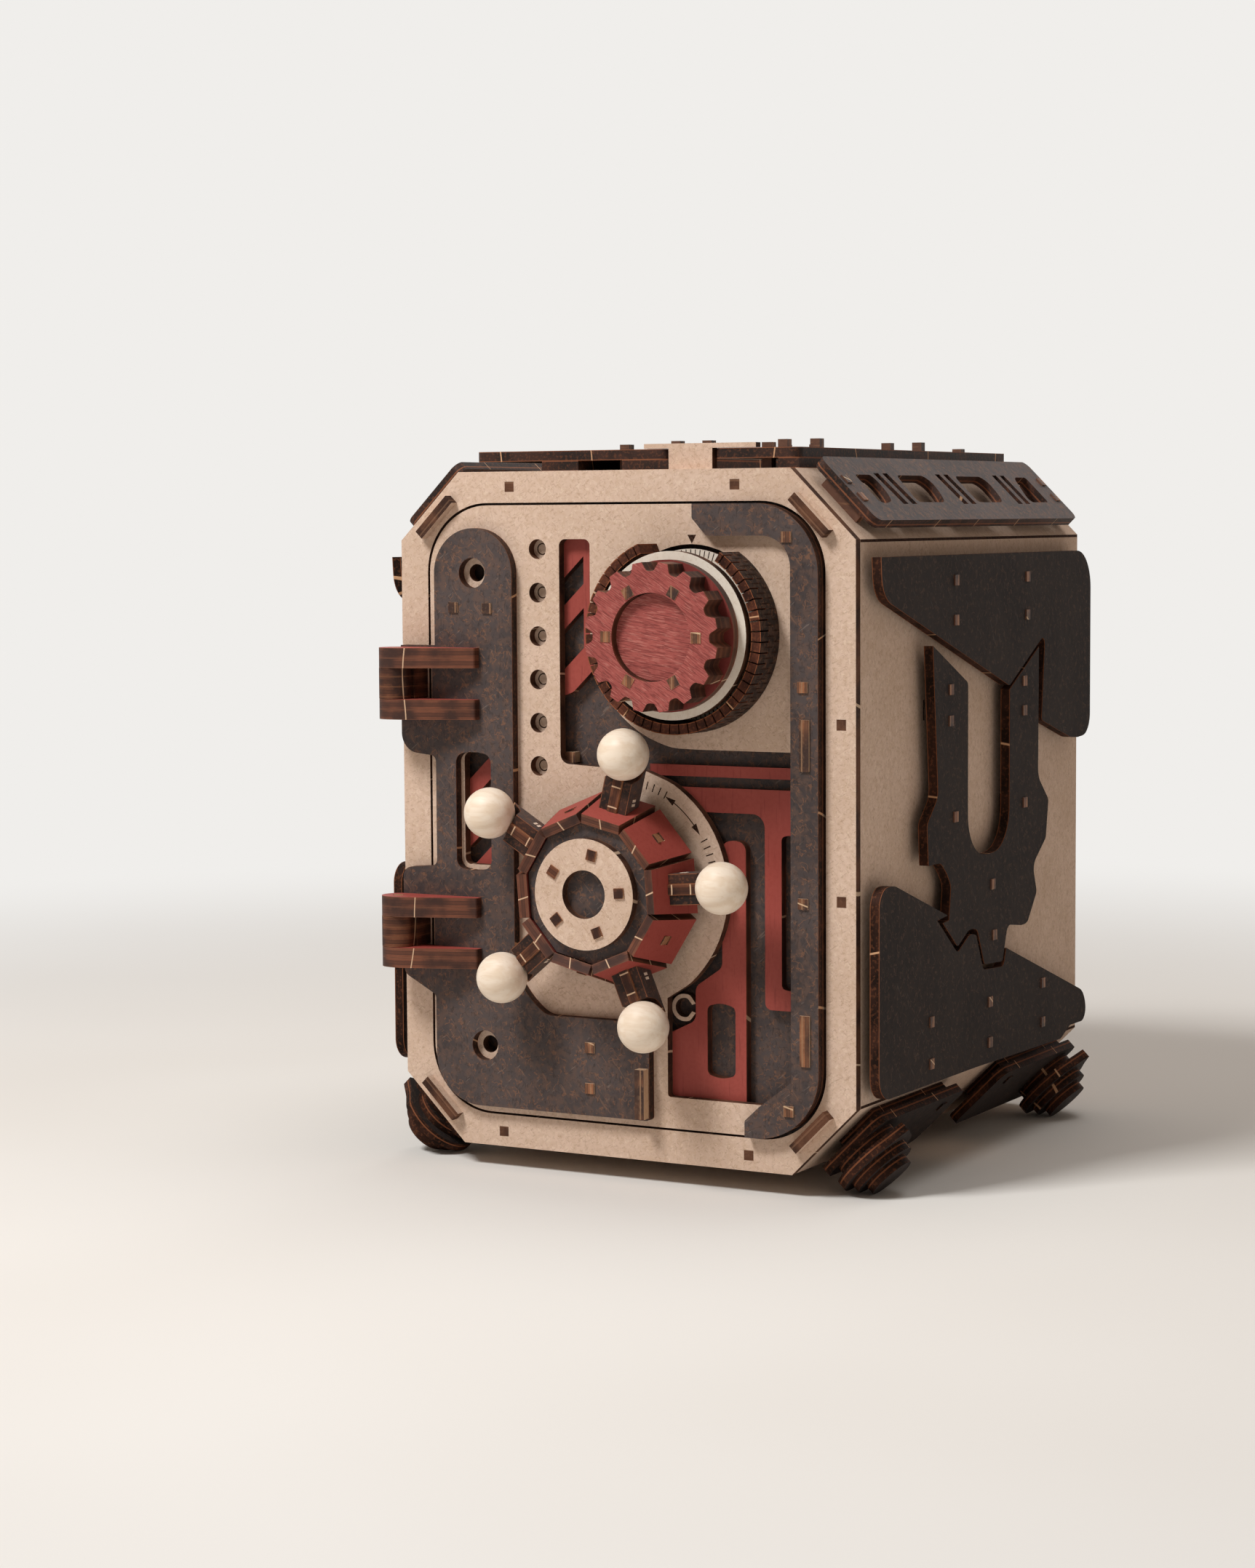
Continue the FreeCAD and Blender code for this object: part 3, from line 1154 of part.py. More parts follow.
def fence():
    """The nose on the bar that reaches across the rims of the code wheels."""
    nose = DIAL[0] + CODE_WHEEL + FENCE_CLEAR
    low, high = DIAL[1] - FENCE_HALF, DIAL[1] + FENCE_HALF
    plane = front(0)
    beside = block(plane, nose, BAR_LEFT, low, high, BAR_FRONT, BAR_BACK)
    behind = block(plane, nose, BAR_LEFT + BAR_WIDTH, low, high, BAR_BACK, code_y(3) - CODE_GAP)
    return beside.fuse(behind).removeSplitter()


def code_y(k):
    """The front face of the drive wheel (0) or of a code wheel."""
    return PLATE_BACK + CODE_START + k * (SHEET + CODE_GAP)


def gated_disc(y, bore):
    """A wheel with one gate in its rim, at the left."""
    r = CODE_WHEEL
    half = math.degrees(math.asin(GATE_WIDTH / 2 / r))
    a, b = polar(DIAL, r, 180 + half), polar(DIAL, r, 180 - half)
    floor = DIAL[0] - r + GATE_DEPTH
    plane = front(y)
    points = [a, Via(*polar(DIAL, r, 0)), b, (floor, b[1], GATE_ROUND), (floor, a[1], GATE_ROUND)]
    return sheet(plane, points, [circle(plane, DIAL, bore, True)])


def peg(y, turn):
    """A driving peg between two wheels, from y on."""
    x, z = polar(DIAL, PEG_CIRCLE, turn)
    return sheet(front(y), rect(x, z, PEG_SIZE, PEG_SIZE, turn), thick=CODE_GAP * PEG_SHARE)


def code_wheels():
    """The drive wheel on the shaft and the two loose code wheels, with the pegs that pick them up."""
    reach = CODE_GAP * PEG_SHARE
    loose = DIAL_SHAFT + SHAFT_FIT
    drive = gated_disc(code_y(0), DIAL_SHAFT).fuse(peg(code_y(0) + SHEET, PEG_TURNS[0]))
    one = gated_disc(code_y(1), loose)
    one = one.fuse([peg(code_y(1) - reach, PEG_TURNS[1]), peg(code_y(1) + SHEET, PEG_TURNS[2])])
    two = gated_disc(code_y(2), loose).fuse(peg(code_y(2) - reach, PEG_TURNS[3]))
    return [wheel.removeSplitter() for wheel in (drive, one, two)]


def grip_outline():
    """The grip ring's outline: short crests on a circle with a hollow bite between them."""
    edge = math.degrees(SCALLOP_RADIUS / FACE_RADIUS)
    points = []
    for i in range(SCALLOPS):
        for turn, depth in SCALLOP_SHAPE:
            points.append(polar(DIAL, FACE_RADIUS - depth * SCALLOP_RADIUS, i * 360 / SCALLOPS + turn * edge))
    return points


def dial_tab_holes():
    """The outlines of the tab ends in the grip ring."""
    turns = [360 / DIAL_TABS * i for i in range(DIAL_TABS)]
    return [rect(*polar(DIAL, DIAL_TAB_RADIUS, turn), TAB, TAB, turn) for turn in turns]


def face_ring():
    """The grip ring's layers; the front one is open over the recessed disc."""
    layers = []
    for layer in range(FACE_LAYERS):
        plane = front(FACE_FRONT + layer * SHEET)
        holes = [] if layer else [circle(plane, DIAL, FACE_RECESS)] + dial_tab_holes()
        layers.append(sheet(plane, grip_outline(), holes))
    return layers


def facet_apothem(y):
    """Outer apothem of the facets at a given y."""
    return FACET_FRONT + (y - FACET_FRONT_Y) * FACET_SLOPE


def tile_inside(y):
    """Where a spoke or rib ends behind the tile's inner face, at a given y."""
    return facet_apothem(y) - SHEET * math.sqrt(1 + FACET_SLOPE ** 2) - TILE_PLAY


def facet(turn, with_spoke):
    """One slanted tile of the wheel's rim, with the slot for its spoke or its tab."""
    plane = radial(WHEEL, turn)
    a, b = FACET_FRONT_WIDTH / 2, FACET_BACK_WIDTH / 2
    spots = [(FACET_FRONT, FACET_FRONT_Y, -a), (FACET_FRONT, FACET_FRONT_Y, a),
             (FACET_BACK, FACET_BACK_Y, b), (FACET_BACK, FACET_BACK_Y, -b)]
    corners = [plane.at(*spot) for spot in spots]
    face = Part.Face(Part.makePolygon(corners + corners[:1]))
    inward = (plane.u * -1 + plane.v * FACET_SLOPE).normalize()
    tile = face.extrude(inward * SHEET)
    low, high = (SPOKE_FRONT - SPOKE_PROUD, SPOKE_BACK) if with_spoke else rib_tab()
    room = 2 * SHEET
    return tile.cut(block(plane, FACET_FRONT - room, FACET_BACK + room, low, high, -SHEET / 2, SHEET / 2))


def rib_tab():
    """Front and back of a rib's tab."""
    middle = (HUB_FRONT_Y + SHEET + HUB_BACK_Y) / 2
    return middle - TAB / 2, middle + TAB / 2


def wheel_turns():
    """Angle of each facet, and whether it carries a spoke."""
    return [(WHEEL_TURN + 360 / FACETS * k, k % 2 == 0) for k in range(FACETS)]


def hub_plate(y, apothem, holes):
    """A ten-sided plate whose sides face the facets."""
    out = apothem / math.cos(math.pi / FACETS)
    points = [polar(WHEEL, out, turn + 180 / FACETS) for turn, _ in wheel_turns()]
    return sheet(front(y), points, holes)


def ring_tabs():
    """The outlines of the spokes' tab ends in the front ring."""
    return [rect(*polar(WHEEL, RING_TAB, turn), TAB, SHEET, turn) for turn, spoke in wheel_turns() if spoke]


def ball_seat(y):
    """Where a spoke's edge at y meets the ball."""
    return BALL_REACH - math.sqrt(BALL_SEAT ** 2 - (y - BALL_Y) ** 2)


def seat_via():
    """The point that a spoke's seat bends through."""
    half_way = BALL_SEAT * math.sqrt(0.5)
    return Via(BALL_REACH - half_way, BALL_Y + half_way)


def spoke_core(turn):
    """The middle layer of a spoke: from the hub, through the tile, to the ball's seat."""
    f, b = SPOKE_FRONT - SPOKE_PROUD, SPOKE_BACK
    inner_f, inner_b = HUB_FRONT_Y + SHEET, HUB_BACK_Y
    skin = tile_inside(inner_f)
    tab_a, tab_b = RING_TAB - TAB / 2, RING_TAB + TAB / 2
    tab_front = WHEEL_FRONT - TAB_PROUD
    points = [(SPOKE_START, inner_b), (SPOKE_START, inner_f), (tab_a, inner_f), (tab_a, tab_front),
              (tab_b, tab_front), (tab_b, inner_f), (skin, inner_f), (skin, f), (ball_seat(f), f),
              seat_via(), (ball_seat(b), b), (skin, b), (skin, inner_b)]
    return sheet(radial(WHEEL, turn).moved(-SHEET / 2), points)


def spoke_side(turn, layer):
    """An outer layer of a spoke, from the tile's slant to the ball's seat."""
    f, b = SPOKE_FRONT, SPOKE_BACK
    points = [(facet_apothem(f) + SPOKE_SEAM, f), (ball_seat(f), f), seat_via(), (ball_seat(b), b),
              (facet_apothem(b) + SPOKE_SEAM, b)]
    return sheet(radial(WHEEL, turn).moved(layer * SHEET), points)


def rib(turn):
    """The short rib behind a tile that carries no spoke, with its tab through the tile."""
    f, b = HUB_FRONT_Y + SHEET, HUB_BACK_Y
    skin = tile_inside(f)
    low, high = rib_tab()
    end = facet_apothem(low) + TAB_PROUD
    points = [(RIB_START, f), (skin, f), (skin, low), (end, low), (end, high), (skin, high), (skin, b),
              (RIB_START, b)]
    return sheet(radial(WHEEL, turn).moved(-SHEET / 2), points)


def ball(turn):
    """A turned ball in flat facets, on the end of a spoke."""
    x, z = polar(WHEEL, BALL_REACH, turn)
    centre = V(x, BALL_Y, z)

    def spot(i, j):
        """The corner on ring i at side j."""
        down, turned = math.pi * i / BALL_RINGS, 2 * math.pi * j / BALL_SIDES
        r = BALL * math.sin(down)
        return centre + V(r * math.cos(turned), -BALL * math.cos(down), r * math.sin(turned))

    faces = []
    for i in range(BALL_RINGS):
        for j in range(BALL_SIDES):
            corners = [spot(i, j), spot(i, j + 1), spot(i + 1, j + 1), spot(i + 1, j)]
            if i == 0:
                corners = [corners[0], corners[2], corners[3]]
            elif i == BALL_RINGS - 1:
                corners = corners[:3]
            faces.append(Part.Face(Part.makePolygon(corners + corners[:1])))
    return Part.Solid(Part.Shell(faces))


def shaft(centre, r, start):
    """A round shaft from start to the lock cover's back."""
    return Part.makeCylinder(r, COVER_FRONT + SHEET - start, V(centre[0], start, centre[1]), V(0, 1, 0))


def handwheel():
    """The nodes that turn with the handwheel."""
    spokes = [turn for turn, has_spoke in wheel_turns() if has_spoke]
    ribs = [turn for turn, has_spoke in wheel_turns() if not has_spoke]
    plane = front(WHEEL_FRONT)
    face_holes = [circle(plane, WHEEL, HUB_RING_HOLE)] + ring_tabs()
    back_bore = circle(front(HUB_BACK_Y), WHEEL, WHEEL_SHAFT, True)
    return {
        "wheel_face_ring": [sheet(plane, circle(plane, WHEEL, HUB_RING), face_holes)],
        "wheel_hub_plates": [hub_plate(HUB_FRONT_Y, HUB_FRONT, ring_tabs()),
                             hub_plate(HUB_BACK_Y, HUB_BACK, [back_bore])],
        "wheel_facets": [facet(turn, has_spoke) for turn, has_spoke in wheel_turns()],
        "spoke_cores": [spoke_core(turn) for turn in spokes] + [rib(turn) for turn in ribs],
        "spoke_sides": [spoke_side(turn, layer) for turn in spokes for layer in SIDE_LAYERS],
        "wheel_balls": [ball(turn) for turn in spokes],
        "wheel_shaft": [shaft(WHEEL, WHEEL_SHAFT, HUB_FRONT_Y + SHEET)],
        "pinion": [pinion()],
    }


def case():
    """The nodes that stand still."""
    frame, stop, back = case_frames()
    wall = walls()
    skin = skins()
    plates = [side_plates(sign) for sign in (-1, 1)]
    roof, pegs = roof_parts()
    foot = [feet(sx) for sx in (-1, 1)]
    mounts = louvre_mounts(-1) + louvre_mounts(1) + side_mounts(-1) + side_mounts(1) + pegs
    return {
        "front_frame": [frame],
        "stop_frame": [stop],
        "back_panel": [back],
        "top_bottom_panels": [wall[0], wall[4]],
        "side_panels": [wall[2], wall[6]],
        "corner_panels": wall[1::2],
        "top_bottom_skins": [skin[0], skin[4]],
        "side_skins": [skin[2], skin[6]],
        "corner_skins": skin[1::2],
        "upper_side_plates": [p[0] for p in plates],
        "middle_side_plates": [p[1] for p in plates],
        "lower_side_plates": [p[2] for p in plates],
        "louvre_plates": [louvre(-1), louvre(1)],
        "plate_mounts": mounts,
        "foot_base_plates": foot[0][0] + foot[1][0],
        "foot_drop_plates": foot[0][1] + foot[1][1],
        "foot_discs": foot[0][2] + foot[1][2],
        "roof_plates": roof,
        "top_crest": [top_crest()],
        "hinge_knuckles": hinge_knuckles(),
        "hinge_pins": hinge_pins(),
    }


def door():
    """The nodes that swing with the door and don't turn by themselves."""
    return {
        "door_panel": [door_leaf()],
        "hole_strip": [hole_strip()],
        "stripe_plate": stripe_plates(),
        "hook_plate": [hook_plate()],
        "slot_plate": [slot_plate()],
        "thin_bar": [thin_bar()],
        "peg_ring": [peg_ring()],
        "door_back_plate": [door_back_plate()],
        "hinge_trim": [hinge_trim()],
        "lock_trim": [lock_trim()],
        "hinge_arms": hinge_arms(),
        "trim_tabs": trim_tabs(),
        "dial_guard": [dial_guard()],
        "lock_walls": [lock_walls()],
        "lock_cover": [lock_cover()],
        "bolt_guides": bolt_guides(),
        "bearing_rings": bearing_rings(),
    }


def dial():
    """The nodes that turn with the dial, and the two code wheels."""
    drive, one, two = code_wheels()
    tab_depth = SHEET + DIAL_TAB_PROUD
    tabs = [sheet(front(FACE_FRONT - DIAL_TAB_PROUD), tab, thick=tab_depth) for tab in dial_tab_holes()]
    recess = FACE_FRONT + SHEET - CENTRE_DISC
    return {
        "dial_face_ring": face_ring(),
        "dial_tabs": tabs,
        "dial_centre_disc": [disc(recess, DIAL, FACE_RECESS - CENTRE_PLAY, thick=CENTRE_DISC)],
        "dial_red_disc": [disc(RED_FRONT, DIAL, RED_RADIUS)],
        "dial_rim_ring": [disc(RIM_FRONT, DIAL, RIM_RADIUS)],
        "dial_hub": [disc(RIM_FRONT + SHEET, DIAL, DIAL_HUB, thick=DIAL_HUB_DEPTH)],
        "scale_disc": [bored(SCALE_FRONT, DIAL, SCALE_RADIUS, DIAL_SHAFT, SCALE_THICK)],
        "dial_shaft": [shaft(DIAL, DIAL_SHAFT, SCALE_FRONT)],
        "drive_wheel": [drive],
        "code_wheel_front": [one],
        "code_wheel_back": [two],
    }


def bolt_work():
    """The nodes that slide."""
    return {"bolt_bar": [bolt_bar()], "bolts": bolts(), "fence": [fence()]}


def shift():
    """From the drawing frame to the ground, under the middle of the whole object."""
    front_most = FACE_FRONT - DIAL_TAB_PROUD
    slope = math.sqrt(0.5)
    rims = []
    for layers, r in ((4, FOOT_OUT), (5, FOOT_MIDDLE), (6, FOOT_END)):
        rims.append(corner(1, -1, 0).at(0, FOOT_SHIFT, layers * SHEET).z - r * slope)
    return V(0, -(front_most + DEPTH) / 2, -min(rims))


def build():
    """Write one STEP file per node."""
    os.makedirs("parts", exist_ok=True)
    move = shift()
    for group in (case(), door(), handwheel(), dial(), bolt_work()):
        for name, solids in group.items():
            shape = solids[0] if len(solids) == 1 else Part.makeCompound(solids)
            shape = shape.copy()
            shape.translate(move)
            shape.exportStep("parts/" + name + ".step")
    print("moved by", move)


build()
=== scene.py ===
"""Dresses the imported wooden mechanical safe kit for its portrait.

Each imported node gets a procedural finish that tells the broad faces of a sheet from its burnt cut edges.
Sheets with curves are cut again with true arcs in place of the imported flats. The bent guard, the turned
balls and the engraved marks are built here. Lengths in the classes are millimetres in the frame of the
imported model.
"""
import json
import logging
import math
from dataclasses import dataclass, replace
from enum import Enum
from typing import Any, Iterable, Sequence

import bmesh
import bpy
from mathutils import Matrix, Vector


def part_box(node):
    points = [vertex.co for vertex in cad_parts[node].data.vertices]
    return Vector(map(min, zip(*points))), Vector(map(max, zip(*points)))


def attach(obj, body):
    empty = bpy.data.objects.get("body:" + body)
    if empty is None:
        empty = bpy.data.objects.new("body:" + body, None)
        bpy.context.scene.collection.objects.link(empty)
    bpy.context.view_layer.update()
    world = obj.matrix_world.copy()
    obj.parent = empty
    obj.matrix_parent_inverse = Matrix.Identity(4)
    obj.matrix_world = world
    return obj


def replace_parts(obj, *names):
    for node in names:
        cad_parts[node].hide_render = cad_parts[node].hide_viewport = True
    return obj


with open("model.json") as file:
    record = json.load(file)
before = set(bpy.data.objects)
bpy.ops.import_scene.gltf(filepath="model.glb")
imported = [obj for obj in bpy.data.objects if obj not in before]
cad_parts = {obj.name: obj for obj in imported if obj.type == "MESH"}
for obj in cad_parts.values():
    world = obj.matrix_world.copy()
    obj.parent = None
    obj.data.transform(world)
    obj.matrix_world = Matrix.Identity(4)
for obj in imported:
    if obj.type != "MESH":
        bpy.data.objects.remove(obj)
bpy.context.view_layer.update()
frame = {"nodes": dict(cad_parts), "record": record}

MM = 0.001
LOG = logging.getLogger("safe_kit")

SHEET = 3.0                     # thickness of every sheet
WHEEL_AXIS = (-0.6, 86.79)      # x and z of the handwheel's axis
WHEEL_TURN = 4.4                # degrees to the middle of its first spoke
DIAL_AXIS = (23.2, 160.79)      # x and z of the dial's axis
GUARD_INNER = 25.2              # inner radius of the guard round the dial
LEAF_FACE = -72.75              # y of the door leaf's front
PROUD = 0.04                    # how far an engraved mark stands out of its face
SUNK = 0.2                      # how far it reaches into the sheet

CURL_WARP = 0.4                 # distortion of the noise whose level line a curly fibre follows
CURL_CORE = 0.4                 # share of a fibre's half width that has its full colour
CURL_PATCH = 0.83               # scale of the patches that keep fibres, as a share of the fibres' own
CURL_REACH = 0.3                # how far the share that is kept moves the edge of those patches
CURL_SOFT = 0.05                # softness of that edge

NO_AREA = 1e-12                 # square metres: a face of less has no direction
SAME_WAY = 0.9999               # cosine between two directions that count as one
UPRIGHT = 0.002                 # cosine up to which a wall counts as straight along an axis

Socket = bpy.types.NodeSocket
Material = bpy.types.Material
Piece = bpy.types.Object
Mesh = bmesh.types.BMesh
Point = tuple[float, float]
Place = tuple[float, float, float]
Colour = tuple[float, float, float]
Value = Socket | float
Face = tuple[int, ...]
Slabs = dict[Point, list[list[int]]]


def linear(colour: Colour) -> tuple[float, float, float, float]:
    """An 8-bit screen colour as the linear colour that shaders take."""
    parts = [c / 255 for c in colour]
    return (*[p / 12.92 if p <= 0.04045 else ((p + 0.055) / 1.055) ** 2.4 for p in parts], 1.0)


class Tree:
    """The node tree of a material or a world, with short calls that add a node."""

    def __init__(self, owner: Material | bpy.types.World) -> None:
        """Empties the tree.

        Args:
            owner: The material or world.
        """
        owner.use_nodes = True
        self.tree = owner.node_tree
        self.tree.nodes.clear()

    def put(self, target: Socket, value: Value | Sequence[float]) -> None:
        """Gives an input its value.

        Args:
            target: The input.
            value: Another node's result, or a constant.
        """
        if isinstance(value, Socket):
            self.tree.links.new(value, target)
        else:
            target.default_value = value

    def add(self, kind: str, *values: Value | Sequence[float]) -> bpy.types.Node:
        """Adds a shader node.

        Args:
            kind: Its type, without the word ShaderNode.
            values: What its first inputs take, in order.

        Returns:
            The node.
        """
        node = self.tree.nodes.new(f"ShaderNode{kind}")
        for socket, value in zip(node.inputs, values):
            self.put(socket, value)
        return node

    def math(self, operation: str, *values: Value | Sequence[float], kind: str = "Math") -> Socket:
        """The result of a Math node.

        Args:
            operation: The node's operation.
            values: Its inputs, in order.
            kind: Math, or VectorMath where an input is a vector.

        Returns:
            The result.
        """
        node = self.add(kind, *values)
        node.operation = operation
        return node.outputs["Value"]


class Graph(Tree):
    """One material's node tree, with the calls that its patterns are made of."""

    def __init__(self, name: str) -> None:
        """Starts a material with a Principled shader.

        Args:
            name: The material's name.
        """
        self.material = bpy.data.materials.new(name)
        super().__init__(self.material)
        self.output = self.add("OutputMaterial")
        self.shader = self.add("BsdfPrincipled")
        self.put(self.output.inputs["Surface"], self.shader.outputs[0])
        texture = self.add("TexCoord")
        self.place = texture.outputs["Object"]
        self.normal = texture.outputs["Normal"]

    def done(self, colour: Socket, roughness: float, specular: float) -> Material:
        """Gives the shader its values.

        Args:
            colour: The base colour.
            roughness: The same all over.
            specular: The same all over.

        Returns:
            The material.
        """
        self.put(self.shader.inputs["Base Color"], colour)
        self.put(self.shader.inputs["Roughness"], roughness)
        self.put(self.shader.inputs["Specular IOR Level"], specular)
        return self.material

    def plus(self, first: Value, second: Value) -> Socket:
        """The sum of two values."""
        return self.math("ADD", first, second)

    def minus(self, first: Value, second: Value) -> Socket:
        """The first value less the second."""
        return self.math("SUBTRACT", first, second)

    def times(self, first: Value, second: Value) -> Socket:
        """The product of two values."""
        return self.math("MULTIPLY", first, second)

    def size(self, value: Value) -> Socket:
        """A value without its sign."""
        return self.math("ABSOLUTE", value)

    def dot(self, vector: Socket, axis: Place) -> Socket:
        """How far a vector reaches along an axis."""
        return self.math("DOT_PRODUCT", vector, axis, kind="VectorMath")

    def split(self, vector: Socket) -> list[Socket]:
        """A vector's three parts."""
        return list(self.add("SeparateXYZ", vector).outputs)

    def join(self, x: Value, y: Value, z: Value) -> Socket:
        """A vector of three parts."""
        return self.add("CombineXYZ", x, y, z).outputs[0]

    def step(self, value: Value, low: float, high: float) -> Socket:
        """A smooth rise; low above high makes it a fall.

        Args:
            value: What is measured.
            low: Where the result is 0.
            high: Where the result is 1.

        Returns:
            The result, from 0 to 1.
        """
        ends = (low, high, 0.0, 1.0) if low < high else (high, low, 1.0, 0.0)
        node = self.add("MapRange", value, *ends)
        node.interpolation_type = "SMOOTHSTEP"
        return node.outputs["Result"]

    def facing(self, normal: Socket, axis: Place, band: Point) -> Socket:
        """1 where a surface looks along an axis, either way; the band is the cosines of 0 and 1."""
        return self.step(self.size(self.dot(normal, axis)), *band)

    def mapped(self, shift: Place, turn: Place, scale: Place) -> Socket:
        """The object's place, turned, scaled and shifted.

        Args:
            shift: Added last, in pattern units.
            turn: Degrees about x, y and z.
            scale: Pattern units per metre on the turned axes.

        Returns:
            The mapped place.
        """
        still = (0.0, 0.0, 0.0)
        turned = self.add("Mapping", self.place, still, [math.radians(t) for t in turn])
        return self.add("Mapping", turned.outputs[0], shift, still, scale).outputs[0]

    def noise(self, where: Socket, scale: float, detail: float = 2.0, warp: float = 0.0) -> Socket:
        """Noise at a place.

        Args:
            where: The place.
            scale: Features per unit of the place.
            detail: Octaves.
            warp: Distortion.

        Returns:
            Its value, about 0.5 on average.
        """
        node = self.add("TexNoise", where)
        for name, value in (("Scale", scale), ("Detail", detail), ("Distortion", warp)):
            self.put(node.inputs[name], value)
        return node.outputs[0]

    def patches(self, where: Socket, scale: float, band: Point, detail: float = 2.0) -> Socket:
        """Soft patches of noise; the band is the noise levels of 0 and 1."""
        return self.step(self.noise(where, scale, detail), *band)

    def blend(self, factor: Value, first: Socket | Colour, second: Socket | Colour) -> Socket:
        """A mix of two colours; plain colours are 8-bit screen ones.

        Args:
            factor: 0 gives the first, 1 the second.
            first: A colour or a socket.
            second: A colour or a socket.

        Returns:
            The mixed colour.
        """
        node = self.add("Mix", factor)
        node.data_type = "RGBA"
        for socket, colour in ((node.inputs[6], first), (node.inputs[7], second)):
            self.put(socket, linear(colour) if isinstance(colour, tuple) else colour)
        return node.outputs[2]

    def tint(self, colour: Socket | Colour, amount: float, mask: Socket, tone: Colour) -> Socket:
        """A colour with an amount of a tone over it where a mask is 1."""
        return self.blend(self.times(mask, amount), colour, tone)

    def bump(self, height: Socket, strength: float, distance: float) -> None:
        """Raises the surface by a height.

        Args:
            height: 0 to 1.
            strength: The node's strength.
            distance: Millimetres for a height of 1.
        """
        node = self.add("Bump", strength, distance * MM)
        self.put(node.inputs["Height"], height)
        self.put(self.shader.inputs["Normal"], node.outputs[0])

    def curls(self, where: Socket, scale: float, width: float, kept: float) -> Socket:
        """Short curly strokes: the level line of one noise, kept where another is high.

        Args:
            where: The place.
            scale: Strokes per unit of the place, roughly.
            width: Half the stroke's width, in noise levels.
            kept: How much of the line is kept, 0 to 1.

        Returns:
            1 on a stroke, 0 off it.
        """
        away = self.size(self.minus(self.noise(where, scale, 1, CURL_WARP), 0.5))
        edge = 0.5 + (0.5 - kept) * CURL_REACH
        patch = self.patches(where, scale * CURL_PATCH, (edge, edge + CURL_SOFT), 1)
        return self.times(self.step(away, width, width * CURL_CORE), patch)


class Lie(Enum):
    """How the sheets of a node lie: which way their broad faces look, or for tab ends their cut ends.

    A tile is a facet of the handwheel, a band the bent guard, and a solid has no cut edge.
    """

    FRONT = "front"
    SIDE = "side"
    FLAT = "flat"
    SLOPE = "slope"
    TILE = "tile"
    SPOKE = "spoke"
    BAND = "band"
    SOLID = "solid"
    ENDS_X = "ends across x"
    ENDS_Y = "ends across y"


@dataclass(frozen=True)
class Layers:
    """The directions of a flat lie: what the faces look along, through the sheets, and along an edge."""

    looks: Place
    through: Place
    along: Place
    band: Point = (0.8, 0.9)


DIAGONAL = (math.sqrt(0.5), 0.0, math.sqrt(0.5))
ENDS_ALONG = (0.2, 0.4, 1.0)
ENDS_BAND = (0.6, 0.4)
LAYERS = {
    Lie.FRONT: Layers((0.0, 1.0, 0.0), (0.0, 1.0, 0.0), (1.0, 0.0, 0.62)),
    Lie.SIDE: Layers((1.0, 0.0, 0.0), (1.0, 0.0, 0.0), (0.0, 1.0, 0.62)),
    Lie.FLAT: Layers((0.0, 0.0, 1.0), (0.0, 0.0, 1.0), (1.0, 0.62, 0.0)),
    Lie.SLOPE: Layers(DIAGONAL, DIAGONAL, (0.12, 1.0, -0.12)),
    Lie.ENDS_X: Layers((1.0, 0.0, 0.0), (0.0, 1.0, 0.0), ENDS_ALONG, ENDS_BAND),
    Lie.ENDS_Y: Layers((0.0, 1.0, 0.0), (1.0, 0.0, 0.0), ENDS_ALONG, ENDS_BAND),
}


@dataclass(frozen=True)
class Fibre:
    """One kind of fibre in a board's face: curly where its grain is None, else straight dashes."""

    colour: Colour
    scale: float
    strength: float
    width: float = 0.03
    kept: float = 0.5
    grain: float | None = None
    stretch: float = 7.0
    level: float = 0.62


@dataclass(frozen=True)
class BoardLook:
    """The colours and scales of one kind of sheet; a mottle is its scale, amount and tone."""

    name: str
    face: Colour
    cloud: Colour
    mottle: tuple[float, float, Colour]
    fibres: tuple[Fibre, ...]
    edge: Colour
    edge_dark: Colour
    edge_rim: Colour
    rim: float
    tick: Colour
    roughness: float
    specular: float
    relief: float
    plies: int = 1


LIGHT = BoardLook(
    name="light_board", face=(220, 193, 173), cloud=(211, 184, 163), mottle=(620.0, 0.55, (203, 174, 149)),
    fibres=(Fibre((166, 134, 110), 900, 0.32, 0.05), Fibre((240, 220, 198), 700, 0.3, 0.05, 0.45),
            Fibre((152, 118, 94), 1900, 0.3, grain=28, stretch=4),
            Fibre((160, 126, 102), 1700, 0.28, grain=-47, stretch=4)),
    edge=(100, 66, 48), edge_dark=(54, 34, 26), edge_rim=(176, 134, 104), rim=0.3, tick=(230, 200, 170),
    roughness=0.8, specular=0.18, relief=0.1)
PALE = replace(
    LIGHT, name="pale_board", face=(238, 228, 214), cloud=(232, 221, 206),
    mottle=(620.0, 0.4, (226, 212, 194)), fibres=(Fibre((200, 176, 152), 900, 0.25, 0.05),))
DARK = BoardLook(
    name="dark_board", face=(82, 72, 70), cloud=(66, 58, 57), mottle=(420.0, 0.5, (104, 80, 68)),
    fibres=(Fibre((134, 94, 70), 520, 0.5, 0.045), Fibre((56, 47, 45), 640, 0.5, 0.05),
            Fibre((150, 134, 124), 1300, 0.3, grain=38, level=0.66),
            Fibre((140, 104, 82), 1200, 0.35, grain=-52, level=0.65),
            Fibre((40, 33, 31), 1500, 0.4, grain=84, stretch=4)),
    edge=(62, 40, 32), edge_dark=(34, 24, 20), edge_rim=(158, 98, 66), rim=0.8, tick=(226, 178, 138),
    roughness=0.55, specular=0.2, relief=0.12)
# A copy of the dark board with a darker face and weaker fibres, for the side plates and the feet: painted
# shade, as the side plates face away from the lamps and the feet sit low under the case.
DARK_PAINTED_SHADE = replace(
    DARK, name="dark_board_painted_shade", face=(55, 49, 47), cloud=(48, 43, 42), mottle=(420.0, 0.4, (64, 54, 49)),
    fibres=(Fibre((104, 82, 70), 520, 0.35, 0.045), Fibre((112, 102, 96), 1300, 0.2, grain=38, level=0.66)),
    specular=0.03)
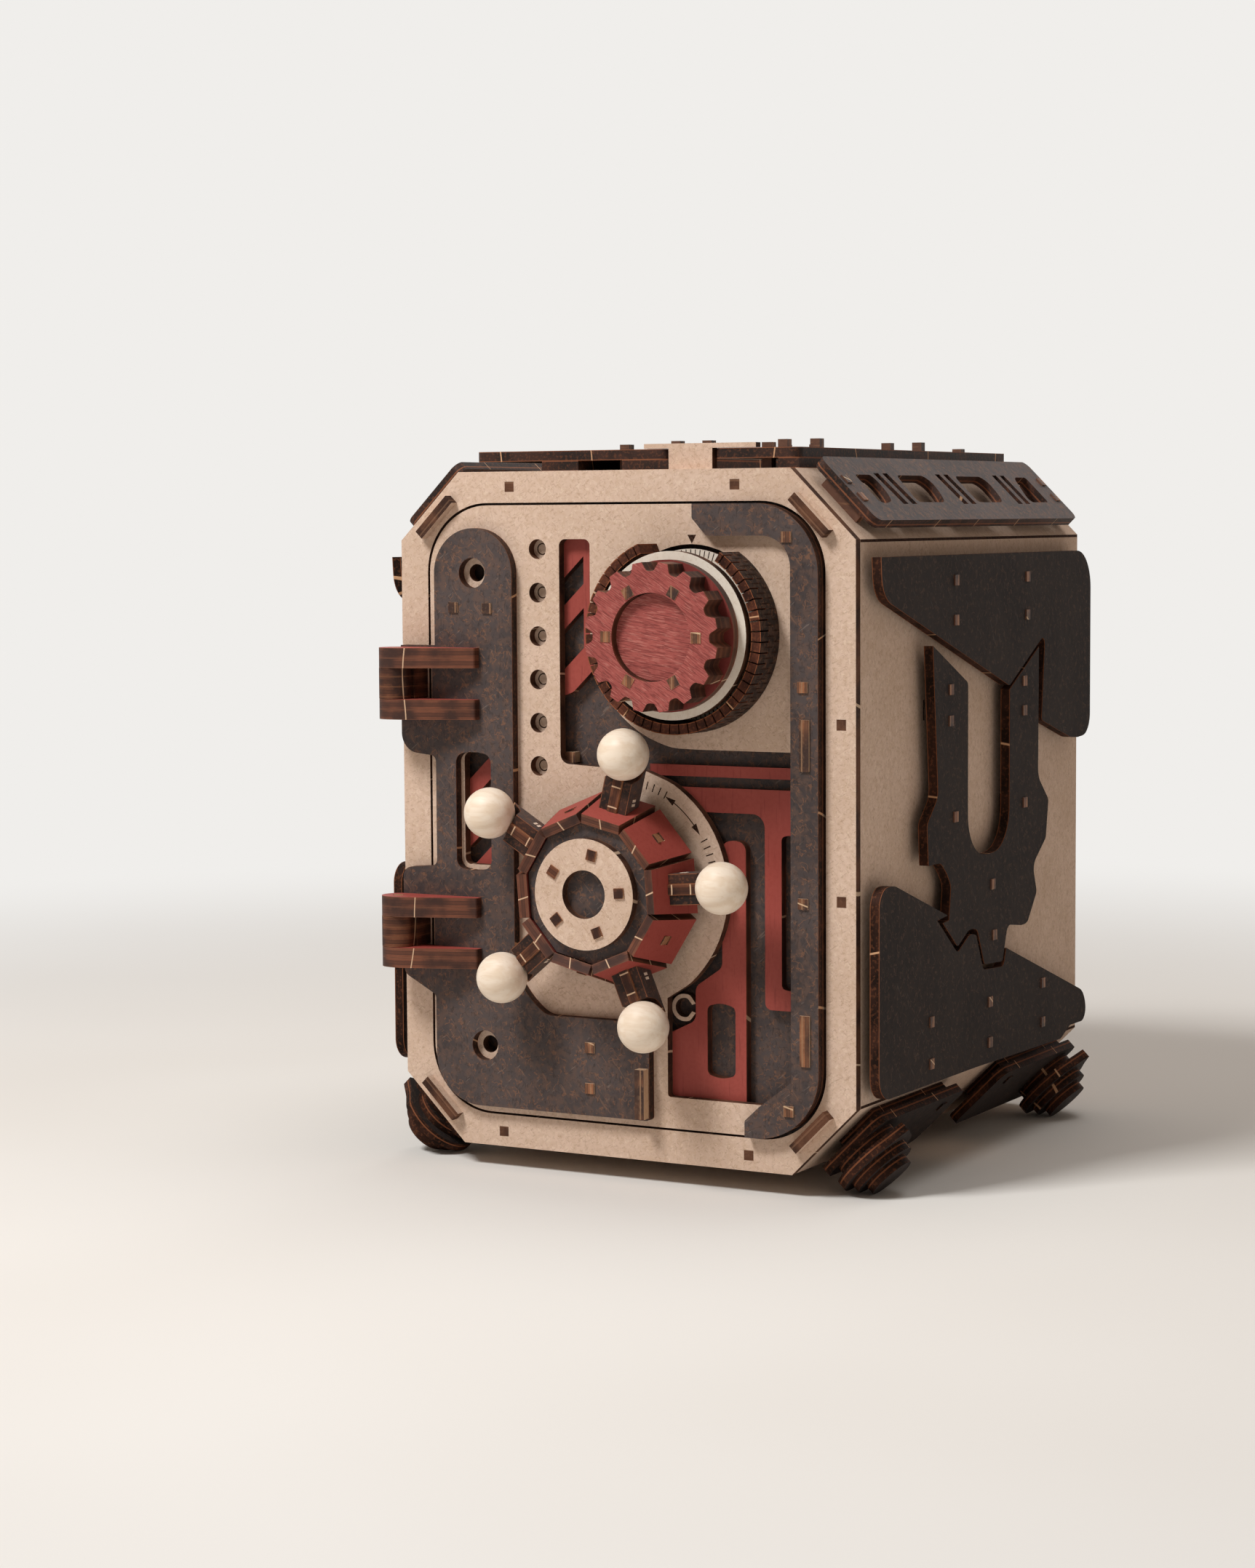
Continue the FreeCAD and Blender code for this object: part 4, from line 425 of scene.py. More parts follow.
BENT = replace(
    DARK, name="bent_board", face=(60, 50, 47), cloud=(52, 44, 41), edge=(92, 54, 41), edge_dark=(52, 32, 26),
    edge_rim=(174, 106, 70), specular=0.06)
RED = BoardLook(
    name="red_plywood", face=(164, 76, 66), cloud=(154, 68, 59), mottle=(900.0, 0.25, (141, 58, 50)),
    fibres=(Fibre((116, 44, 40), 1600, 0.35, grain=90, stretch=14),
            Fibre((170, 84, 74), 1500, 0.2, grain=90, stretch=14)),
    edge=(117, 69, 49), edge_dark=(56, 32, 24), edge_rim=(154, 99, 70), rim=0.3, tick=(238, 200, 164),
    roughness=0.55, specular=0.3, relief=0.06, plies=3)
# A darker copy of the red plywood for the dial's red disc, which lies deep behind the grip ring: partly the
# disc's own deeper red, partly painted shade from the ring over it.
RED_DARKER_AND_SHADED = replace(
    RED, name="red_plywood_darker_and_shaded", face=(134, 58, 52), cloud=(123, 51, 46), mottle=(900.0, 0.25, (112, 44, 40)))
ROSE = BoardLook(
    name="rose_plywood", face=(165, 86, 79), cloud=(155, 78, 72), mottle=(700.0, 0.3, (147, 70, 65)),
    fibres=(Fibre((104, 44, 42), 3600, 0.6, grain=-32, stretch=15, level=0.5),
            Fibre((206, 136, 124), 3800, 0.4, grain=-32, stretch=13, level=0.56)),
    edge=(112, 66, 46), edge_dark=(52, 29, 22), edge_rim=(160, 104, 72), rim=0.3, tick=(238, 206, 172),
    roughness=0.5, specular=0.22, relief=0.12, plies=3)
PLY = BoardLook(
    name="plain_plywood", face=(176, 128, 92), cloud=(160, 112, 80), mottle=(700.0, 0.3, (142, 98, 68)),
    fibres=(Fibre((110, 70, 48), 1200, 0.5, grain=90, stretch=12),
            Fibre((222, 182, 142), 1100, 0.4, grain=90, stretch=12)),
    edge=(112, 68, 47), edge_dark=(50, 29, 22), edge_rim=(170, 114, 78), rim=0.3, tick=(240, 206, 170),
    roughness=0.6, specular=0.2, relief=0.08, plies=3)
# Tab ends: their edges are brighter than other plywood edges and carry a wide pale rim. This is partly the
# brown plies and partly painted highlights standing for the glints on the ends.
TAB = BoardLook(
    name="tab_plywood", face=(216, 184, 154), cloud=(200, 166, 134), mottle=(700.0, 0.3, (184, 146, 112)),
    fibres=(Fibre((150, 108, 78), 1300, 0.4, grain=0, stretch=10),),
    edge=(146, 94, 62), edge_dark=(52, 31, 23), edge_rim=(206, 160, 120), rim=0.5, tick=(226, 192, 154),
    roughness=0.5, specular=0.35, relief=0.06, plies=3)
# The plate mounts keep the tab plywood's edges but get a dark brown face: painted shade, as they sit under
# the louvre plates.
MOUNT_PAINTED_SHADE = replace(
    TAB, name="mount_plywood_painted_shade", face=(112, 76, 58), cloud=(94, 62, 47), mottle=(700.0, 0.4, (78, 50, 38)))


@dataclass(frozen=True)
class FacePattern:
    """The patterns on every broad face.

    Scales are per metre and bands are noise levels. Each further kind of fibre is shifted, and a curly one
    turned, by as much again, so that no two lie alike.
    """

    cloud_scale: float = 38.0
    cloud_detail: float = 3.0
    cloud: Point = (0.35, 0.65)
    mottle: Point = (0.42, 0.66)
    curl_shift: Place = (7.0, 3.0, 5.0)
    curl_turn: Place = (23.0, 41.0, 17.0)
    dash_shift: Place = (1.0, 0.7, 0.4)
    dash_first: float = 3.0
    dash_soft: float = 0.07
    bump: float = 0.3


@dataclass(frozen=True)
class EdgePattern:
    """What the laser leaves on every cut edge, and the pale rim along each border of a sheet, a painted
    highlight on tab ends.

    Scales are per metre. Bands of scorch, specks and streaks are noise levels. Those of the core, skin and
    rim are distances from the middle of a sheet, and that of the glue from a glue line, as shares of the
    sheet's thickness. The bridge is half the width of an uncut one, in millimetres.
    """

    scorch_scale: float = 110.0
    scorch: Point = (0.36, 0.64)
    speck_scale: float = 1100.0
    speck: Point = (0.5, 0.68)
    speck_share: float = 0.25
    streak_along: float = 160.0
    streak_through: float = 1500.0
    streak: Point = (0.45, 0.65)
    streak_share: float = 0.25
    core: Point = (0.24, 0.14)
    core_share: float = 0.5
    glue: Point = (0.05, 0.02)
    glue_share: float = 0.55
    skin: Point = (0.46, 0.49)
    skin_share: float = 0.8
    rim_inner: Point = (0.42, 0.45)
    rim_outer: Point = (0.5, 0.47)
    wobble_scale: float = 25.0
    wobble: float = 0.5
    bridge: float = 0.2
    bridge_soft: Point = (1.25, 0.8)
    bridge_share: float = 0.75


@dataclass(frozen=True)
class Dress:
    """How one node is finished.

    The turn is added to the angle of its grain. Its first sheet starts at start, after the sheets are folded
    over at each fold, and the gap is from one uncut bridge in an edge to the next.
    """

    node: str
    look: BoardLook
    lie: Lie
    start: float = 0.0
    turn: float = 0.0
    folds: tuple[float, ...] = ()
    gap: float = 31.0


def link(name: str, data: bpy.types.ID) -> Piece:
    """Puts an object into the scene.

    Args:
        name: Its name.
        data: Its mesh, lamp or camera.

    Returns:
        The object.
    """
    piece = bpy.data.objects.new(name, data)
    bpy.context.scene.collection.objects.link(piece)
    return piece


def mesh_piece(name: str, mesh: Mesh, body: str, material: Material, crease: float = 0.0) -> Piece:
    """Turns built mesh data into a piece that rides on a body.

    Args:
        name: The piece's name.
        mesh: Its shape, in metres; freed here.
        body: The body that it rides on.
        material: Its finish.
        crease: Edges that turn less than this angle are shaded smooth.

    Returns:
        The piece.
    """
    bmesh.ops.recalc_face_normals(mesh, faces=mesh.faces)
    mesh.normal_update()
    if crease:
        for face in mesh.faces:
            face.smooth = True
        for edge in mesh.edges:
            edge.smooth = edge.calc_face_angle(math.pi) < crease
    data = bpy.data.meshes.new(name)
    mesh.to_mesh(data)
    mesh.free()
    data.materials.append(material)
    piece = link(name, data)
    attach(piece, body)
    LOG.info("built %s on %s", name, body)
    return piece


def on_circle(centre: Point, radius: float, degrees: float) -> Point:
    """A point on a circle."""
    a = math.radians(degrees)
    return centre[0] + radius * math.cos(a), centre[1] + radius * math.sin(a)


def tick(centre: Point, turn: float, low: float, high: float, width: float) -> list[Point]:
    """The outline of a radial tick.

    Args:
        centre: The middle of its circle.
        turn: Its angle, degrees.
        low: Its inner radius.
        high: Its outer radius.
        width: Its width at the outer end.

    Returns:
        Its four corners.
    """
    side = math.degrees(width / 2 / high)
    corners = [(low, turn - side), (high, turn - side), (high, turn + side), (low, turn + side)]
    return [on_circle(centre, radius, angle) for radius, angle in corners]


def add_loft(mesh: Mesh, rings: Iterable[Iterable[Vector]]) -> None:
    """Adds a closed solid that runs through rings of corners.

    Args:
        mesh: Where it is added.
        rings: The rings, with as many corners each, in metres.
    """
    rows = [[mesh.verts.new(spot) for spot in ring] for ring in rings]
    for near, far in zip(rows, rows[1:]):
        for i, corner in enumerate(near):
            mesh.faces.new((corner, near[i - 1], far[i - 1], far[i]))
    mesh.faces.new(rows[0])
    mesh.faces.new(rows[-1])


def add_prism(mesh: Mesh, outline: Sequence[Point], front: float, back: float) -> None:
    """Adds a closed prism between two y, from an outline in x and z, all in millimetres."""
    add_loft(mesh, [[Vector((x, y, z)) * MM for x, z in outline] for y in (front, back)])


def add_box(mesh: Mesh, low: Sequence[float], high: Sequence[float], place: Matrix = Matrix()) -> None:
    """Adds a closed box.

    Args:
        mesh: Where it is added.
        low: Its lowest corner, millimetres.
        high: Its highest corner, millimetres.
        place: Moves it, in metres.
    """
    middle = (Vector(low) + Vector(high)) / 2 * MM
    size = Matrix.Diagonal((*((Vector(high) - Vector(low)) * MM), 1.0))
    bmesh.ops.create_cube(mesh, size=1.0, matrix=place @ Matrix.Translation(middle) @ size)


def add_slab(mesh: Mesh, outlines: Sequence[Sequence[Vector]], low: Vector, high: Vector) -> None:
    """Adds a closed straight solid.

    Args:
        mesh: Where it is added.
        outlines: Its outer and inner outlines, in metres.
        low: Moves an outline to one end.
        high: Moves an outline to the other end.
    """
    ends: list[list[bmesh.types.BMEdge]] = [[], []]
    for path in outlines:
        rings = [[mesh.verts.new(point + shift) for point in path] for shift in (low, high)]
        for i in range(len(path)):
            after = (i + 1) % len(path)
            mesh.faces.new((rings[0][i], rings[0][after], rings[1][after], rings[1][i]))
            for ring, end in zip(rings, ends):
                end.append(mesh.edges.get((ring[i], ring[after])))
    way = (high - low).normalized()
    for end in ends:
        bmesh.ops.triangle_fill(mesh, use_beauty=True, use_dissolve=False, edges=end, normal=way)


@dataclass
class Solid:
    """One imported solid: its corners, and its faces as rows of corner numbers."""

    spots: list[Vector]
    faces: list[Face]

    def normal(self, face: Face) -> Vector:
        """Which way a face looks; its length is twice the face's area."""
        a, b, c = (self.spots[i] for i in face[:3])
        return (b - a).cross(c - a)

    def corners(self) -> list[int]:
        """The numbers of the corners that its faces use, in order."""
        return sorted({i for face in self.faces for i in face})

    def axes(self) -> list[Vector]:
        """The directions that its faces look in, without opposites.

        Returns:
            The directions, the one with the most area first.
        """
        rows: list[tuple[Vector, float]] = []
        for normal in map(self.normal, self.faces):
            area = normal.length
            if area < NO_AREA:
                continue
            way = normal / area
            for i, (known, total) in enumerate(rows):
                if abs(known.dot(way)) > SAME_WAY:
                    rows[i] = (known, total + area)
                    break
            else:
                rows.append((way, area))
        rows.sort(key=lambda row: -row[1])
        return [way for way, _ in rows]

    def volume(self) -> float:
        """Its volume, with a sign that its faces' winding gives."""
        spots = self.spots
        return sum(spots[a].dot(spots[b].cross(spots[c])) for a, b, c in self.faces) / 6


@dataclass
class CurveCutter:
    """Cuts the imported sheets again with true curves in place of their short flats.

    A flat is bent where its arc bulges less than bulge and turns by least to sharpest at its ends. Corners
    nearer than level are one, and a solid that grows by more than the share grown stays as it is.
    """

    bulge: float = 0.27
    sharpest: float = math.radians(52)
    least: float = math.radians(2)
    step: float = math.radians(7)
    crease: float = math.radians(32)
    level: float = 0.004
    grown: float = 0.08

    def solids(self, data: bpy.types.Mesh) -> list[Solid]:
        """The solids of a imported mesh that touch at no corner.

        Args:
            data: The mesh, in triangles.

        Returns:
            The solids, or stacks of solids.
        """
        ids: dict[Face, int] = {}
        spots: list[Vector] = []
        number = []
        for vertex in data.vertices:
            key = tuple(round(c / (self.level * MM)) for c in vertex.co)
            if key not in ids:
                ids[key] = len(spots)
                spots.append(vertex.co.copy())
            number.append(ids[key])
        leader = list(range(len(spots)))

        def root(i: int) -> int:
            """The corner that stands for all the corners joined to one.

            Args:
                i: The corner's number.

            Returns:
                The number of the one that stands for it.
            """
            while leader[i] != i:
                leader[i] = leader[leader[i]]
                i = leader[i]
            return i

        faces = [tuple(number[v] for v in polygon.vertices) for polygon in data.polygons]
        for face in faces:
            for other in face[1:]:
                leader[root(other)] = root(face[0])
        groups: dict[int, list[Face]] = {}
        for face in faces:
            groups.setdefault(root(face[0]), []).append(face)
        return [Solid(spots, group) for group in groups.values()]

    def slabs(self, solid: Solid, axis: Vector) -> Slabs | None:
        """The outlines of a solid whose sheets are straight along an axis.

        Args:
            solid: The solid or stack.
            axis: The direction.

        Returns:
            The closed outlines of each pair of heights; nothing if a face slants or an outline stays open.
        """
        height: dict[int, float] = {}
        levels: list[float] = []
        for i in solid.corners():
            h = solid.spots[i].dot(axis)
            known = next((level for level in levels if abs(level - h) < self.level * MM), None)
            if known is None:
                levels.append(h)
                known = h
            height[i] = known
        follow: dict[Point, dict[int, int]] = {}
        for face in solid.faces:
            reach = sorted({height[i] for i in face})
            normal = solid.normal(face)
            if len(reach) == 1 or normal.length < NO_AREA:
                continue
            if len(reach) > 2 or abs(normal.dot(axis)) > UPRIGHT * normal.length:
                return None
            after = follow.setdefault((reach[0], reach[1]), {})
            for a, b in zip(face, face[1:] + face[:1]):
                if height[a] == height[b] == reach[1]:
                    if a in after:
                        return None
                    after[a] = b
        found: Slabs = {}
        for pair, after in follow.items():
            while after:
                start = next(iter(after))
                path, here = [], start
                while here in after:
                    path.append(here)
                    here = after.pop(here)
                if here != start:
                    return None
                found.setdefault(pair, []).append(path)
        return found

    def curved(self, points: Sequence[Vector]) -> tuple[list[Vector], bool]:
        """An outline whose short flats are bent to the arcs that they stand for.

        Args:
            points: Its corners, on a plane.

        Returns:
            The new corners, and whether any flat was bent.
        """
        count = len(points)
        sides = [points[(i + 1) % count] - points[i] for i in range(count)]
        heads = [math.atan2(side.y, side.x) for side in sides]
        turns = [math.remainder(heads[i] - heads[i - 1], math.tau) for i in range(count)]
        soft = []
        for i, side in enumerate(sides):
            a, b = turns[i], turns[(i + 1) % count]
            least, most = sorted((abs(a), abs(b)))
            flat = side.length / 2 * math.tan(most / 4) < self.bulge * MM
            soft.append(a * b > 0 and least > self.least and most < self.sharpest and flat)
        ways = []
        for i in range(count):
            if soft[i - 1] and soft[i]:
                part = sides[i - 1].length / (sides[i - 1].length + sides[i].length)
                ways.append(heads[i - 1] + turns[i] * part)
            else:
                ways.append(heads[i] if soft[i - 1] else heads[i - 1])
        path = []
        for i, here in enumerate(points):
            path.append(here)
            if not soft[i]:
                continue
            there = points[(i + 1) % count]
            start, end = ways[i], ways[(i + 1) % count]
            turn = abs(math.remainder(end - start, math.tau))
            reach = sides[i].length / 3 / math.cos(turn / 4) ** 2
            first = here + Vector((math.cos(start), math.sin(start))) * reach
            last = there - Vector((math.cos(end), math.sin(end))) * reach
            pieces = max(2, math.ceil(turn / self.step))
            for k in range(1, pieces):
                t = k / pieces
                u = 1 - t
                path.append(here * u ** 3 + first * 3 * u * u * t + last * 3 * u * t * t + there * t ** 3)
        return path, any(soft)

    def cut(self, mesh: Mesh, solid: Solid) -> bool:
        """Adds one solid with its curves, if it is straight along some axis and has any.

        Args:
            mesh: Where it is added.
            solid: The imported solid.

        Returns:
            Whether it was added.
        """
        for axis in solid.axes():
            found = self.slabs(solid, axis)
            if not found:
                continue
            across = axis.orthogonal().normalized()
            up = axis.cross(across)
            plans = []
            volume, bent = 0.0, False
            for (low, high), loops in found.items():
                paths = []
                for loop in loops:
                    flat = [Vector((solid.spots[i].dot(across), solid.spots[i].dot(up))) for i in loop]
                    path, soft = self.curved(flat)
                    bent = bent or soft
                    paths.append([across * p.x + up * p.y for p in path])
                    area = sum(p.cross(path[(i + 1) % len(path)]) for i, p in enumerate(path)) / 2
                    volume += area * (high - low)
                plans.append((low, high, paths))
            packed = abs(solid.volume())
            if not bent or abs(abs(volume) - packed) > self.grown * packed:
                continue
            for low, high, paths in plans:
                add_slab(mesh, paths, axis * low, axis * high)
            return True
        return False

    def recut(self, node: str, material: Material) -> Piece | None:
        """Builds a node again with true curves, to stand for it.

        Args:
            node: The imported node.
            material: Its finish.

        Returns:
            The new piece, or nothing where the node has no curve to mend.
        """
        mesh = bmesh.new()
        changed = False
        for solid in self.solids(frame["nodes"][node].data):
            if self.cut(mesh, solid):
                changed = True
                continue
            corners = {i: mesh.verts.new(solid.spots[i]) for i in solid.corners()}
            for face in solid.faces:
                spots = [corners[i] for i in face]
                if len(set(face)) == 3 and not mesh.faces.get(spots):
                    mesh.faces.new(spots)
        if not changed:
            mesh.free()
            return None
        record = frame["record"]
        body = next(name for name, nodes in record["behaviour"]["bodies"].items() if node in nodes)
        piece = mesh_piece(f"cut_{node}", mesh, body, material, self.crease)
        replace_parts(piece, node)
        return piece


@dataclass(frozen=True)
class Forms:
    """Where the slopes fold over, and the sizes of the handwheel's facets and spokes and of the guard.

    Pitches are degrees from one facet or spoke to the next. A band is the cosines, or for the facets the
    distances from their own cosine, of 0 and 1.
    """

    middle: float = 107.29
    tile_pitch: float = 36.0
    tile_front: float = 22.3
    tile_slope: float = 5.0 / 16.7
    tile_from: float = -93.7
    tile_slant: float = 0.287
    tile_band: Point = (0.12, 0.08)
    spoke_pitch: float = 72.0
    spoke_half: float = 4.5
    spoke_band: Point = (0.3, 0.2)
    guard_band: Point = (0.6, 0.8)


FORMS = Forms()
FACES = FacePattern()
EDGES = EdgePattern()


class Sheet(Graph):
    """The finish of the sheets in one node."""

    def __init__(self, dress: Dress) -> None:
        """Starts the node's material.

        Args:
            dress: How the node is finished.
        """
        super().__init__(f"{dress.look.name}_{dress.node}")
        self.dress = dress

    def folded(self) -> tuple[Socket, Socket]:
        """The place and normal with all four case slopes turned into the upper right one.

        Returns:
            The place and the normal.
        """
        px, py, pz = self.split(self.place)
        nx, ny, nz = self.split(self.normal)
        above = self.minus(pz, FORMS.middle * MM)
        side, level = self.math("SIGN", px), self.math("SIGN", above)
        place = self.join(self.size(px), py, self.size(above))
        return place, self.join(self.times(nx, side), ny, self.times(nz, level))

    def polar(self, centre: Point, pitch: float, turn: float) -> tuple[Socket, Socket]:
        """The radius about an axis along y, and the angle within one repeat of a pattern.

        Args:
            centre: The axis, in x and z.
            pitch: Degrees from one repeat to the next.
            turn: Degrees to the middle of the first repeat.

        Returns:
            The radius in metres and the angle in radians, 0 in the middle of the repeat.
        """
        px, _, pz = self.split(self.place)
        x, z = self.minus(px, centre[0] * MM), self.minus(pz, centre[1] * MM)
        radius = self.math("SQRT", self.plus(self.times(x, x), self.times(z, z)))
        angle = self.minus(self.math("ARCTAN2", z, x), math.radians(turn))
        half = math.radians(pitch / 2)
        return radius, self.math("WRAP", angle, half, -half)

    def depth(self) -> tuple[Socket, Socket, Socket]:
        """Where a point is in its sheet.

        Returns:
            1 on a broad face and 0 on a cut edge, metres through the sheets, and metres along the edge.
        """
        lie, across = self.dress.lie, (0.0, 1.0, 0.0)
        if lie in LAYERS:
            rule = LAYERS[lie]
            place, normal = self.folded() if lie is Lie.SLOPE else (self.place, self.normal)
            through, along = self.dot(place, rule.through), self.dot(place, rule.along)
            broad = self.facing(normal, rule.looks, rule.band)
        elif lie is Lie.TILE:
            radius, angle = self.polar(WHEEL_AXIS, FORMS.tile_pitch, WHEEL_TURN)
            y = self.split(self.place)[1]
            rise = self.minus(y, FORMS.tile_from * MM)
            outer = self.math("MULTIPLY_ADD", rise, FORMS.tile_slope, FORMS.tile_front * MM)
            through = self.minus(outer, self.times(radius, self.math("COSINE", angle)))
            along = self.plus(self.times(radius, self.math("SINE", angle)), y)
            slant = self.size(self.dot(self.normal, across))
            broad = self.step(self.size(self.minus(slant, FORMS.tile_slant)), *FORMS.tile_band)
        elif lie is Lie.SPOKE:
            radius, angle = self.polar(WHEEL_AXIS, FORMS.spoke_pitch, WHEEL_TURN)
            through = self.plus(self.times(radius, self.math("SINE", angle)), FORMS.spoke_half * MM)
            along = radius
            broad = self.facing(self.normal, across, FORMS.spoke_band)
        else:
            radius, angle = self.polar(DIAL_AXIS, 360, 0)
            through = self.minus(radius, GUARD_INNER * MM)
            along = self.times(angle, GUARD_INNER * MM)
            nx, _, nz = self.split(self.normal)
            aside, above = self.math("COSINE", angle), self.math("SINE", angle)
            outward = self.plus(self.times(nx, aside), self.times(nz, above))
            broad = self.step(self.size(outward), *FORMS.guard_band)
        for fold in self.dress.folds:
            through = self.size(self.minus(through, fold * MM))
        return broad, self.minus(through, self.dress.start * MM), along

    def grained(self, fibre: Fibre, shift: float) -> Socket:
        """The object's place, squeezed so that noise on it runs in dashes along a grain.

        Args:
            fibre: The fibre's grain, scale and stretch.
            shift: Moves the pattern.

        Returns:
            The squeezed place.
        """
        degrees = fibre.grain + self.dress.turn
        turns = {Lie.SIDE: (90 - degrees, 0, 0), Lie.FLAT: (0, 0, -degrees)}
        long, fine = fibre.scale / fibre.stretch, fibre.scale
        scale = (fine, long, fine) if self.dress.lie is Lie.SIDE else (long, fine, fine)
        moved = [part * shift for part in FACES.dash_shift]
        return self.mapped(moved, turns.get(self.dress.lie, (0, degrees, 0)), scale)

    def face_colour(self) -> Socket:
        """The colour of a broad face: clouds, mottle and fibres.

        Returns:
            The colour.
        """
        look = self.dress.look
        cloud = self.patches(self.place, FACES.cloud_scale, FACES.cloud, FACES.cloud_detail)
        scale, amount, tone = look.mottle
        mottle = self.noise(self.place, scale)
        colour = self.blend(cloud, look.face, look.cloud)
        colour = self.tint(colour, amount, self.step(mottle, *FACES.mottle), tone)
        for i, fibre in enumerate(look.fibres):
            if fibre.grain is None:
                shift, turn = ([part * i for part in parts] for parts in (FACES.curl_shift, FACES.curl_turn))
                where = self.mapped(shift, turn, (1, 1, 1))
                mark = self.curls(where, fibre.scale, fibre.width, fibre.kept)
            else:
                where = self.grained(fibre, FACES.dash_first + i)
                mark = self.patches(where, 1.0, (fibre.level, fibre.level + FACES.dash_soft))
            colour = self.tint(colour, fibre.strength, mark, fibre.colour)
        self.bump(mottle, FACES.bump, look.relief)
        return colour

    def edge_colour(self, through: Socket, along: Socket) -> Socket:
        """The colour of a cut edge: burnt, with pale rims, plies and the stubs of uncut bridges.

        Args:
            through: Metres through the sheets.
            along: Metres along the edge.

        Returns:
            The colour.
        """
        look, gap = self.dress.look, self.dress.gap
        scorch = self.patches(self.place, EDGES.scorch_scale, EDGES.scorch)
        colour = self.blend(scorch, look.edge_dark, look.edge)
        speck = self.patches(self.place, EDGES.speck_scale, EDGES.speck)
        colour = self.tint(colour, look.rim * EDGES.speck_share, speck, look.edge_rim)
        long, fine = self.times(along, EDGES.streak_along), self.times(through, EDGES.streak_through)
        marks = [(EDGES.streak_share, self.patches(self.join(long, fine, 0.0), 1.0, EDGES.streak))]
        away = self.size(self.minus(self.math("FRACT", self.times(through, 1 / (SHEET * MM))), 0.5))
        if look.plies > 1:
            glue = self.size(self.minus(away, 0.5 / look.plies))
            marks += [(EDGES.core_share, self.step(away, *EDGES.core)),
                      (EDGES.glue_share, self.step(glue, *EDGES.glue)),
                      (EDGES.skin_share, self.step(away, *EDGES.skin))]
        for amount, mask in marks:
            colour = self.tint(colour, amount, mask, look.edge_dark)
        # The pale rim along both borders of each sheet; on tab ends it is a painted highlight.
        rim = self.times(self.step(away, *EDGES.rim_inner), self.step(away, *EDGES.rim_outer))
        colour = self.tint(colour, look.rim, rim, look.edge_rim)
        wobble = self.times(self.noise(self.place, EDGES.wobble_scale, 1), EDGES.wobble)
        beat = self.math("FRACT", self.plus(self.times(along, 1 / (gap * MM)), wobble))
        ends = [share * EDGES.bridge / gap for share in EDGES.bridge_soft]
        bridge = self.step(self.size(self.minus(beat, 0.5)), *ends)
        return self.tint(colour, EDGES.bridge_share, bridge, look.tick)

    def finished(self) -> Material:
        """Draws the faces and, unless the node has no cut edges, the edges.

        Returns:
            The material.
        """
        colour = self.face_colour()
        if self.dress.lie is not Lie.SOLID:
            broad, through, along = self.depth()
            colour = self.blend(broad, self.edge_colour(through, along), colour)
        return self.done(colour, self.dress.look.roughness, self.dress.look.specular)


@dataclass
class SheetPainter:
    """Gives out the finishes of the sheets, and has their curves cut again."""

    cutter: CurveCutter

    def dress(self, look: BoardLook, lie: Lie, *nodes: str, **more: Any) -> None:
        """Gives nodes of one look and lie their finish.

        Args:
            look: The kind of sheet.
            lie: Which way the sheets look.
            nodes: The nodes.
            more: Other values of their Dress. A node's first sheet starts at its lowest face by default.
        """
        for node in nodes:
            low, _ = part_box(node)
            first = {Lie.FRONT: low.y, Lie.SIDE: low.x, Lie.FLAT: low.z}.get(lie, 0.0) / MM
            material = Sheet(Dress(node, look, lie, **{"start": first, **more})).finished()
            if self.cutter.recut(node, material) is None:
                target = frame["nodes"][node]
                target.data.materials.clear()
                target.data.materials.append(material)
            LOG.info("dressed %s as %s", node, look.name)


@dataclass(frozen=True)
class EngravingAndGapShade:
    """The near-black colour, with a slight mottle, of laser-engraved lines, also used for painted shade in
    narrow gaps and slits.
    """

    name: str = "engraved_line_and_gap_shade"
    colour: Colour = (40, 26, 20)
    pale: Colour = (74, 50, 38)
    scale: float = 1400.0
    band: Point = (0.4, 0.65)
    roughness: float = 0.9
    specular: float = 0.1

    def material(self) -> Material:
        """Builds the finish.

        Returns:
            The material.
        """
        graph = Graph(self.name)
        mottle = graph.patches(graph.place, self.scale, self.band)
        return graph.done(graph.blend(mottle, self.colour, self.pale), self.roughness, self.specular)


@dataclass(frozen=True)
class Grain:
    """One size of streaks in turned wood: a shift, scales per metre, a band of noise levels and a share."""

    shift: Place
    scale: Place
    band: Point
    share: float


@dataclass(frozen=True)
class TurnedWood:
    """Pale turned wood with faint growth rings and finer fibres."""

    name: str
    light: Colour = (248, 232, 212)
    dark: Colour = (228, 202, 172)
    lean: Place = (8.0, 0.0, 0.0)
    grains: tuple[Grain, ...] = (Grain((1.0, 2.0, 3.0), (60.0, 420.0, 420.0), (0.38, 0.66), 0.5),
                                 Grain((4.0, 0.0, 1.0), (140.0, 1500.0, 1500.0), (0.5, 0.75), 0.35))
    roughness: float = 0.45
    specular: float = 0.35

    def material(self) -> Material:
        """Builds the finish.

        Returns:
            The material.
        """
        graph = Graph(self.name)
        colour = self.light
        for grain in self.grains:
            streaks = graph.patches(graph.mapped(grain.shift, self.lean, grain.scale), 1.0, grain.band)
            colour = graph.tint(colour, grain.share, streaks, self.dark)
        return graph.done(colour, self.roughness, self.specular)


